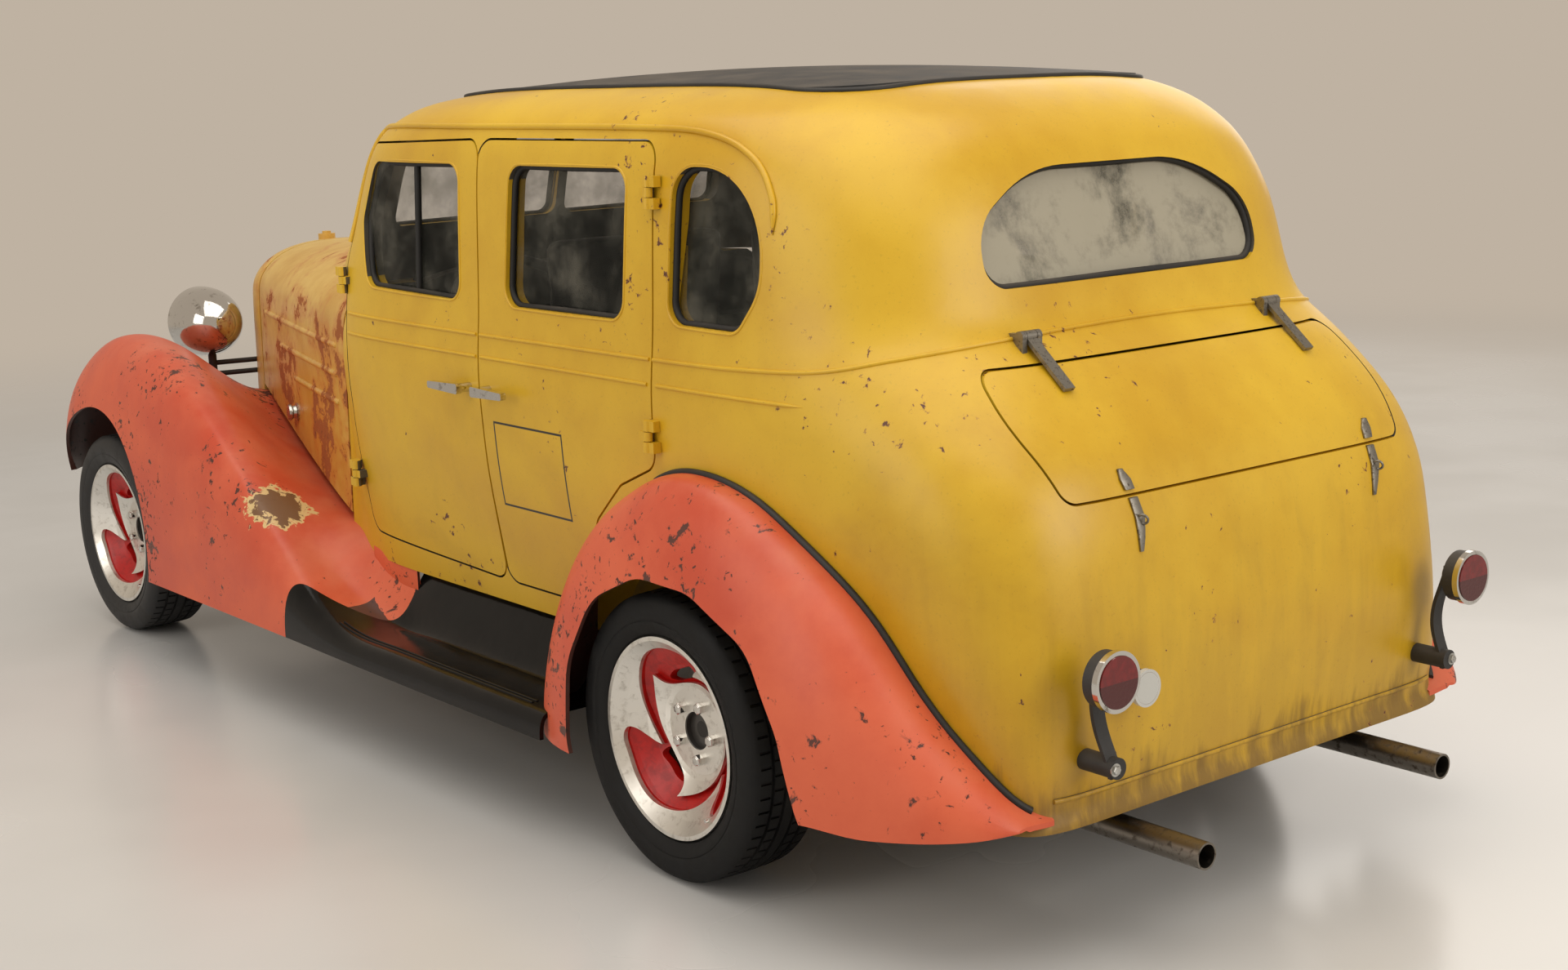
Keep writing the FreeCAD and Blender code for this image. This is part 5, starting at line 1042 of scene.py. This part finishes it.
def make_tyre():
    """Tyre of the rear left wheel: grooves round the tread, then blocks cut across its ribs."""
    centre = wheel_centre("rear_left")
    depth = bpy.context.scene.cab_sizes.groove_depth
    steps = 300
    piece = lathe(tyre_section(depth), centre, (0, 1, 0), steps)

    def blocks(ribs, turn, every):
        def test(middle, normal):
            around = math.atan2(middle.z - centre.z, middle.x - centre.x) / math.tau * steps
            rib = abs(middle.y - centre.y)
            radius = math.hypot(middle.x - centre.x, middle.z - centre.z)
            chosen = int(round(around + turn)) % every == 0
            return chosen and radius > 0.29 and any(low < rib < high for low, high in ribs)

        choose(piece, "faces", test)
        bpy.ops.mesh.inset(thickness=0.0009, depth=-depth * 0.7, use_individual=True)

    blocks([(0.051, 0.0745)], 0.5, 5)
    blocks([(0.0, 0.010), (0.021, 0.041)], 2.5, 5)
    return hang(piece, "tread_rear_left", "wheel_rear_left", "tyre", 28.0)


class CAB_OT_tyres(bpy.types.Operator):
    """Four tyres with a road tread, in place of the plain ones"""

    bl_idname = "cab.tyres"
    bl_label = "Tyres"

    def execute(self, context):
        first = make_tyre()
        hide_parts("tyre_rear_left")
        home = wheel_centre("rear_left")
        for corner in CORNERS[:3]:
            move = Matrix.Translation(wheel_centre(corner) - home)
            made = copied(first, "tread_" + corner, "wheel_" + corner, "tyre", move)
            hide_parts("tyre_" + corner)
        return {"FINISHED"}


NUT_CIRCLE = 0.060
NUT_FOOT = -0.005
# Turned shapes of the hub cap and the valve, as (height, radius)
HUB_CAP = [(-0.008, 0.0), (-0.008, 0.0285), (0.006, 0.0285), (0.008, 0.027), (0.010, 0.0215), (0.014, 0.0195),
           (0.018, 0.012), (0.0195, 0.0)]
VALVE = [(0.050, 0.0), (0.050, 0.004), (0.066, 0.0034), (0.067, 0.0045), (0.078, 0.0045), (0.079, 0.0)]
VALVE_PLACE = (-0.112, 0, -0.148)


def make_nuts(centre):
    """Five tapered nuts, the hub cap and the valve of the rear left wheel."""
    parts = []
    for number in range(5):
        angle = math.radians(42 + 72 * number)
        place = centre + Vector((NUT_CIRCLE * math.cos(angle), NUT_FOOT, NUT_CIRCLE * math.sin(angle)))
        piece = disc(place, 2, 0.0128, 0.028, 6)
        choose(piece, "faces", lambda middle, normal: normal.y > 0.9)
        bpy.ops.mesh.inset(thickness=0.003, depth=0.003)
        soften(0.0008)
        parts.append(closed_piece())
    for outline, place, steps in ((HUB_CAP, (0, 0, 0), 24), (VALVE, VALVE_PLACE, 10)):
        lathe(outline, centre + Vector(place), (0, 1, 0), steps)
        parts.append(closed_piece())
    return hang(joined(parts), "nuts_rear_left", "wheel_rear_left", "chrome", 30.0)


class CAB_OT_nuts(bpy.types.Operator):
    """Wheel nuts, hub caps and valves"""

    bl_idname = "cab.nuts"
    bl_label = "Wheel Nuts"

    def execute(self, context):
        home = wheel_centre("rear_left")
        first = make_nuts(home)
        for corner in CORNERS:
            if corner == "rear_left":
                continue
            centre = wheel_centre(corner)
            if corner.endswith("right"):
                move = Matrix.Translation((centre.x - home.x, 0, 0)) @ MIRROR
            else:
                move = Matrix.Translation(centre - home)
            copied(first, "nuts_" + corner, "wheel_" + corner, "chrome", move)
        return {"FINISHED"}


# Windows, beads and welts

# Side windows as corners (x from the rear axle, z) with their radii, and the body that carries them
SIDE_WINDOWS = {
    "door_front": ([(0.890, 1.130), (1.336, 1.138), (1.384, 1.300), (1.330, 1.440), (0.890, 1.440)],
                   [0.045] * 5),
    "door_rear": ([(0.232, 1.130), (0.690, 1.130), (0.668, 1.440), (0.218, 1.440)], [0.045] * 4),
    "body": ([(-0.140, 1.130), (0.072, 1.134), (0.060, 1.446), (-0.196, 1.446), (-0.197, 1.210)],
             [0.040, 0.045, 0.060, 0.180, 0.120]),
}


# Rubber and raised edge round a window: name, how far out, how deep, radius
WINDOW_LINES = (("seal_", -0.003, 0.0165, 0.0075), ("reveal_", 0.0045, 0.0005, 0.003))
# Rear window and left half of the windshield as corners (y, z) with their radii
REAR_WINDOW = ([(-0.393, 1.206), (0.393, 1.206), (0.393, 1.330), (0.230, 1.428), (-0.230, 1.428),
                (-0.393, 1.330)], [0.05, 0.05, 0.11, 0.35, 0.35, 0.11])
SCREEN = ([(0.014, 1.262), (0.520, 1.262), (0.500, 1.462), (0.014, 1.486)], [0.03] * 4)


def body_name(name, hand):
    """Body that carries a side piece."""
    return name if name == "body" else name + "_" + hand


def both_sides(piece, stem, name, look):
    """Names the left piece, and makes its mirror on the right."""
    piece.name = stem + "_left"
    copied(piece, stem + "_right", body_name(name, "right"), look, MIRROR)


def side_strand(stem, name, line, radius, look, closed=False):
    """Bead on the left of a body, and its mirror on the right."""
    piece = strand(stem, line, radius, body_name(name, "left"), look, closed=closed)
    both_sides(piece, stem, name, look)


def shell_of(name):
    """Solid that a side piece lies on."""
    return ["body_shell"] if name == "body" else [name + "_left"]


class CAB_OT_window_rubbers(bpy.types.Operator):
    """Rubber round every window, and the post in each front window"""

    bl_idname = "cab.window_rubbers"
    bl_label = "Window Rubbers"

    def execute(self, context):
        for name, (corners, radii) in SIDE_WINDOWS.items():
            middle = Vector((sum(c[0] for c in corners), sum(c[1] for c in corners))) / len(corners)
            for stem, grow_by, deep, radius in WINDOW_LINES:
                line = []
                for spot in rounded_outline(corners, radii):
                    away = (spot - middle).normalized()
                    probe = spot + away * 0.012
                    place, _ = touch(shell_of(name), (probe.x + REAR_AXLE, 1.2, probe.y), (0, -1, 0))
                    spot = spot + away * grow_by
                    line.append((spot.x + REAR_AXLE, place.y - deep, spot.y))
                look = "seal" if stem == "seal_" else "yellow"
                side_strand(stem + name, name, line, radius, look, closed=True)
        low, high = (on_side(["glass_front_left"], 1.115, z, 0.004) for z in (1.145, 1.425))
        post = [low + Vector((0, 0, -0.022)), high + Vector((0, -0.001, 0.022))]
        side_strand("vent_post", "door_front", post, 0.0085, "seal")
        self.end_window("rear_seal", *REAR_WINDOW, -2.5, 1)
        corners, radii = SCREEN
        for hand, side in SIDES.items():
            self.end_window("screen_seal_" + hand, [(side * y, z) for y, z in corners], radii, 1.2, -1)
        return {"FINISHED"}

    def end_window(self, name, corners, radii, start, way):
        """Rubber round the rear window or one half of the windshield."""
        middle = Vector((sum(c[0] for c in corners), sum(c[1] for c in corners))) / len(corners)
        line = []
        for spot in rounded_outline(corners, radii):
            away = (spot - middle).normalized()
            probe = spot + away * 0.008
            place, _ = touch(["body_shell"], (start, probe.x, probe.y), (way, 0, 0))
            spot = spot - away * 0.003
            line.append((place.x + way * 0.014, spot.x, spot.y))
        strand(name, line, 0.008, "body", "seal", closed=True)


# Lines along the left side, as (x from the rear axle, z)
UPPER_BELT = [(1.47, 1.062), (1.20, 1.060), (0.82, 1.058), (0.45, 1.058), (0.13, 1.058), (-0.135, 1.060)]
LOWER_BELT = [(1.47, 1.012), (1.20, 1.010), (0.82, 1.008), (0.45, 1.007), (0.10, 1.006), (-0.20, 1.005),
              (-0.34, 1.005)]
DRIP_LINE = [(1.492, 1.235), (1.468, 1.375), (1.408, 1.492), (1.30, 1.521), (0.80, 1.523), (0.20, 1.521),
             (-0.02, 1.508), (-0.15, 1.462), (-0.212, 1.390), (-0.224, 1.320)]
TAIL_BELT = [(-0.135, 0.75, 1.060), (-0.36, 0.75, 1.070), (-0.52, 0.72, 1.094), (-0.63, 0.60, 1.112),
             (-0.68, 0.40, 1.121), (-0.70, 0.20, 1.125), (-0.70, 0.0, 1.126)]


# What lies on each body, from its low to its high place along the car
SIDE_SPANS = (("door_front", 0.8095, 1.4820), ("door_rear", 0.1280, 0.8005), ("body", -2.0, 0.1190))


def parts_of(line):
    """Cuts a dense line into what lies on each body."""
    return {name: [p for p in line if low <= p[0] <= high] for name, low, high in SIDE_SPANS}


class CAB_OT_beads(bpy.types.Operator):
    """Raised belt lines, the drip rail, the tail's belt and the frame of the roof insert"""

    bl_idname = "cab.beads"
    bl_label = "Beads"

    def execute(self, context):
        for stem, line in (("upper_belt_", UPPER_BELT), ("lower_belt_", LOWER_BELT)):
            for name, part in parts_of(along_line(line, 120)).items():
                if stem == "upper_belt_" and name == "body":
                    continue
                points = [on_side(shell_of(name), x, z, 0.0) for x, z in part]
                if name == "body":
                    ahead = range(len(points), 0, -1)
                    points = [(*p, min(1.0, max(0.15, n / 10))) for n, p in zip(ahead, points)]
                side_strand(stem + name, name, points, 0.0042, "yellow")
        self.tail_belt()
        drip = [on_side(["body_shell"], x, z, 0.002) for x, z in along_line(DRIP_LINE, 110)]
        drip = [(*p, min(1.0, n / 8)) for n, p in zip(range(110, 0, -1), drip)]
        side_strand("drip_rail", "body", drip, 0.0068, "yellow")
        frame_line = []
        for spot in rounded_outline([(-0.2, -0.47), (1.3, -0.47), (1.3, 0.47), (-0.2, 0.47)], [0.15] * 4):
            away = (spot - Vector((0.55, 0))).normalized() * 0.010
            above = (spot.x + away.x + REAR_AXLE, spot.y + away.y, 2.0)
            place, normal = touch(["body_shell"], above, (0, 0, -1))
            frame_line.append(place + normal * 0.001)
        strand("roof_frame", frame_line, 0.0065, "body", "welt", closed=True)
        return {"FINISHED"}

    def tail_belt(self):
        """Belt line that climbs from the rear doors, round the tail above the lid."""
        left = []
        for x, y, z in along_line([(0.119, 0.75, 1.058)] + TAIL_BELT, 90):
            aim = Vector((max(x, -0.30) + REAR_AXLE, 0.0, z))
            start = Vector((x + REAR_AXLE, y, z))
            way = aim - start
            place, _ = touch(["body_shell"], start - way.normalized() * 0.3, way)
            left.append(place)
        right = [Vector((p.x, -p.y, p.z)) for p in reversed(left[:-1])]
        strand("tail_belt", left + right, 0.0045, "body", "yellow")


# Seam between the rear fender and the body, as (x from the rear axle, z)
REAR_WELT = [(0.119, 0.832), (0.029, 0.827), (-0.246, 0.771), (-0.482, 0.634), (-0.647, 0.449),
             (-0.828, 0.305)]
# Apron under the front fender's tail, as (x from the rear axle, y, z, height)
APRON = [(1.275, 0.655, 0.385, 0.086), (1.35, 0.653, 0.388, 0.084), (1.44, 0.648, 0.396, 0.078),
         (1.53, 0.638, 0.412, 0.060)]
APRON_THICK = 0.007
BOARD_EDGE = (0.47, 1.38)


class CAB_OT_welts(bpy.types.Operator):
    """Welts of the rear fenders, aprons of the front ones and edges of the running boards"""

    bl_idname = "cab.welts"
    bl_label = "Fender Welts"

    def execute(self, context):
        line = []
        for x, z in along_line(REAR_WELT, 80):
            for _ in range(3):
                flank, _ = touch(["body_shell"], (x + REAR_AXLE, 1.2, z + 0.006), (0, -1, 0))
                place, _ = touch(["rear_fenders"], (x + REAR_AXLE, flank.y + 0.004, 1.0), (0, 0, -1))
                z = place.z
            line.append(place + Vector((0, 0, 0.001)))
        side_strand("rear_welt", "body", line, 0.0085, "welt")
        points = [(x + REAR_AXLE, y, z) for x, y, z, _ in APRON]
        apron = limb(points, [(APRON_THICK, height) for *_, height in APRON], 0)
        soften(0.002)
        hang(apron, "apron", "body", "coral")
        both_sides(apron, "apron", "body", "coral")
        edge = []
        for number in range(60):
            x = BOARD_EDGE[0] + 1.02 * number / 59
            place, _ = touch(["running_boards", "front_fenders"], (x + REAR_AXLE, 0.832, 0.6), (0, 0, -1))
            edge.append(place)
        rim = [tuple(p) for p in edge if p.x - REAR_AXLE < BOARD_EDGE[1]]
        inner = [(x, y - 0.012, z) for x, y, z in rim]
        side_strand("board_edge", "body", [rim, inner], 0.0032, "board")
        return {"FINISHED"}


# Tail and hood fittings

TAIL_X = -2.6
# Hasps as chains of (y, z, width) on the lid and on the body under it
HASPS = {
    "left": (
        [(0.341, 0.892, 0.012), (0.337, 0.875, 0.026), (0.334, 0.857, 0.024)],
        [(0.331, 0.842, 0.022), (0.326, 0.806, 0.024), (0.331, 0.772, 0.016), (0.336, 0.747, 0.008)],
    ),
    "right": (
        [(-0.384, 0.892, 0.012), (-0.378, 0.875, 0.026), (-0.374, 0.857, 0.024)],
        [(-0.373, 0.842, 0.022), (-0.374, 0.806, 0.024), (-0.363, 0.772, 0.016), (-0.355, 0.747, 0.008)],
    ),
}
LAMP_BOLTS = [(0.504, 0.392), (-0.504, 0.392)]
REVERSE_LAMP = (0.398, 0.516)


def on_tail(nodes, y, z, proud):
    """Point on the back of the named solids, a little proud of them."""
    place, normal = touch(nodes, (TAIL_X, y, z), (1, 0, 0))
    return place + normal * proud


def flat_bar(nodes, chain, thick):
    """Flat bar that hangs down the tail, left open with its edges rounded."""
    points = [on_tail(nodes, y, z, thick / 2) for y, z, _ in chain]
    piece = limb(points, [(thick, width) for _, _, width in chain], 2)
    soften(thick * 0.22)
    return piece


class CAB_OT_tail_fittings(bpy.types.Operator):
    """Hasps with their rings, lamp bolts, the lamp ring and the bead over the tail's lip"""

    bl_idname = "cab.tail_fittings"
    bl_label = "Tail Fittings"

    def execute(self, context):
        for hand, (upper, lower) in HASPS.items():
            hang(flat_bar(["trunk_lid"], upper, 0.006), "lid_hasp_" + hand, "trunk_lid", "pitted")
            plate = flat_bar(["body_shell"], lower, 0.005)
            bpy.ops.object.mode_set(mode="OBJECT")
            y, z, _ = lower[1]
            ring = on_tail(["body_shell"], y, z - 0.004, 0.009)
            open_piece(
                "torus", major_radius=0.0095, minor_radius=0.0024, location=ring, rotation=(1.2, 0, 0.4)
            )
            hang(joined([plate, closed_piece()]), "hasp_" + hand, "body", "pitted")
        places = [
            on_tail(["tail_lamp_stands", "body_shell", "rear_fenders"], y, z, -0.001) for y, z in LAMP_BOLTS
        ]
        make_bolts("lamp_bolts", places, -1, 0.0085, "body", "bolt")
        face = on_tail(["clear_lenses"], *REVERSE_LAMP, 0.0)
        open_piece(
            "torus",
            major_radius=0.0295,
            minor_radius=0.0032,
            major_segments=48,
            location=face + Vector((0.003, 0, 0)),
            rotation=(0, math.pi / 2, 0),
        )
        hang(closed_piece(), "reverse_lamp_ring", "body", "chrome", 60.0)
        lip = [on_tail(["body_shell"], 0.56 - 1.12 * k / 60, 0.322, 0.001) for k in range(61)]
        strand("tail_bead", lip, 0.005, "body", "yellow")
        return {"FINISHED"}


# Hood latch turned about its own axis, as (height, radius)
LATCH = [(-0.002, 0.0), (-0.002, 0.027), (0.003, 0.027), (0.006, 0.020), (0.014, 0.018), (0.020, 0.024),
         (0.027, 0.023), (0.030, 0.014), (0.031, 0.0)]


class CAB_OT_hood_latches(bpy.types.Operator):
    """Round turned latch on each side of the hood"""

    bl_idname = "cab.hood_latches"
    bl_label = "Hood Latches"

    def execute(self, context):
        place, normal = touch(["hood_left"], (2.330 + REAR_AXLE, 1.2, 0.687), (0, -1, 0))
        latch = lathe(LATCH, place, normal, 24)
        hang(latch, "hood_latch", "hood_left", "worn_chrome")
        both_sides(latch, "hood_latch", "hood", "worn_chrome")
        return {"FINISHED"}


# Seats

SWELL = 0.014
COVER_MESH = 0.015
# Cushions as (low x, high x), (low y, high y), (low z, high z) and how far the top leans back
CUSHIONS = {
    "front_cushion": ((0.862, 1.338), (0.052, 0.548), (0.462, 0.708), 0.0),
    "front_back": ((0.712, 0.836), (0.052, 0.548), (0.480, 1.284), -0.018),
    "rear_cushion": ((-0.150, 0.358), (-0.538, 0.538), (0.542, 0.718), 0.0),
    "rear_back": ((-0.300, -0.159), (-0.538, 0.538), (0.545, 1.103), 0.0),
}


def swell(piece, cap):
    """Blows a closed cover up by the pressure inside it, each point by no more than the cap."""
    before = [point.co.copy() for point in piece.data.vertices]
    cover = piece.modifiers.new("Cover", "CLOTH")
    cover.settings.use_pressure = True
    cover.settings.uniform_pressure_force = 4.0
    cover.settings.effector_weights.gravity = 0.0
    cover.point_cache.frame_start = 1
    cover.point_cache.frame_end = 20
    for number in range(1, 21):
        bpy.context.scene.frame_set(number)
    bpy.ops.object.modifier_apply(modifier=cover.name)
    bpy.context.scene.frame_set(1)
    for point, start in zip(piece.data.vertices, before):
        move = point.co - start
        point.co = start + move * min(1.0, cap / max(move.length, 1e-9))


def make_cushion(name):
    """Stuffed cushion in the space of its solid."""
    spans, lean = CUSHIONS[name][:3], CUSHIONS[name][3]
    low = Vector([span[0] for span in spans]) + Vector((REAR_AXLE, 0, 0))
    high = Vector([span[1] for span in spans]) + Vector((REAR_AXLE, 0, 0))
    middle, size = (low + high) / 2, high - low
    piece = open_piece("cube", size=1, location=middle, scale=size - Vector([2 * SWELL] * 3))
    bpy.ops.mesh.subdivide(number_cuts=1)
    choose(piece, "verts", lambda place, normal: place.z > middle.z + 0.01)
    bpy.ops.transform.translate(value=(lean, 0, 0))
    soften(0.022, 3)
    piece = closed_piece()
    even = piece.modifiers.new("Even Mesh", "REMESH")
    even.mode = "VOXEL"
    even.voxel_size = COVER_MESH
    bpy.ops.object.modifier_apply(modifier=even.name)
    swell(piece, SWELL - 0.001)
    smoother = piece.modifiers.new("Smooth", "SUBSURF")
    smoother.levels = smoother.render_levels = 1
    bpy.ops.object.modifier_apply(modifier=smoother.name)
    hang(piece, name, "body", "vinyl", 80.0)
    return piece


def seam(name, axis, level, count=96):
    """Piping round a cushion in the plane where one axis has the given value."""
    spans = CUSHIONS[name][:3]
    middle = Vector([(span[0] + span[1]) / 2 for span in spans]) + Vector((REAR_AXLE, 0, 0))
    middle[axis] = level + (REAR_AXLE if axis == 0 else 0)
    first, second = [k for k in range(3) if k != axis]
    line = []
    half = [(span[1] - span[0]) / 2 for span in spans]
    for number in range(count):
        angle = math.tau * number / count
        way = Vector((0, 0, 0))
        way[first] = half[first] * math.cos(angle)
        way[second] = half[second] * math.sin(angle)
        place, normal = touch([name], middle + way * 2.0, -way)
        line.append(place + normal * 0.0005)
    return strand(name + "_piping", line, 0.0042, "body", "piping", closed=True)


class CAB_OT_seats(bpy.types.Operator):
    """Stuffed front and rear seats with piped seams"""

    bl_idname = "cab.seats"
    bl_label = "Seats"

    def execute(self, context):
        made = {name: make_cushion(name) for name in CUSHIONS}
        bpy.context.view_layer.update()
        pipes = [
            seam("front_cushion", 2, 0.668),
            seam("front_back", 0, 0.800),
            seam("rear_cushion", 2, 0.680),
            seam("rear_back", 0, -0.185),
        ]
        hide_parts("front_seats")
        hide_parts("rear_seat")
        for name in ("front_cushion", "front_back"):
            made[name].name = name + "_left"
            twin = copied(made[name], name + "_right", "body", "vinyl", MIRROR)
        for piece in pipes[:2]:
            both_sides(piece, piece.name, "body", "piping")
        return {"FINISHED"}


class CAB_PT_panel(bpy.types.Panel):
    """Steps of the dressing"""

    bl_idname = "CAB_PT_panel"
    bl_label = "Taxi Cab"
    bl_space_type = "VIEW_3D"
    bl_region_type = "UI"
    bl_category = "Taxi Cab"

    def draw(self, context):
        for step in STEPS:
            self.layout.operator(step.bl_idname)
        for name in CabPaint.__annotations__:
            self.layout.prop(context.scene.cab_paint, name)
        for name in CabSizes.__annotations__:
            self.layout.prop(context.scene.cab_sizes, name)


STEPS = (
    CAB_OT_stage,
    CAB_OT_finishes,
    CAB_OT_tyres,
    CAB_OT_nuts,
    CAB_OT_window_rubbers,
    CAB_OT_beads,
    CAB_OT_welts,
    CAB_OT_tail_fittings,
    CAB_OT_hood_latches,
    CAB_OT_seats,
)
CLASSES = (CabPaint, CabSizes, *STEPS, CAB_PT_panel)


def register():
    for made in CLASSES:
        bpy.utils.register_class(made)
    bpy.types.Scene.cab_paint = bpy.props.PointerProperty(type=CabPaint)
    bpy.types.Scene.cab_sizes = bpy.props.PointerProperty(type=CabSizes)


def unregister():
    del bpy.types.Scene.cab_sizes
    del bpy.types.Scene.cab_paint
    for made in reversed(CLASSES):
        bpy.utils.unregister_class(made)


def main():
    """Registers the steps and runs each of them in order."""
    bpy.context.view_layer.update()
    register()
    for step in STEPS:
        package, name = step.bl_idname.split(".")
        getattr(getattr(bpy.ops, package), name)()


if __name__ == "__main__":
    main()
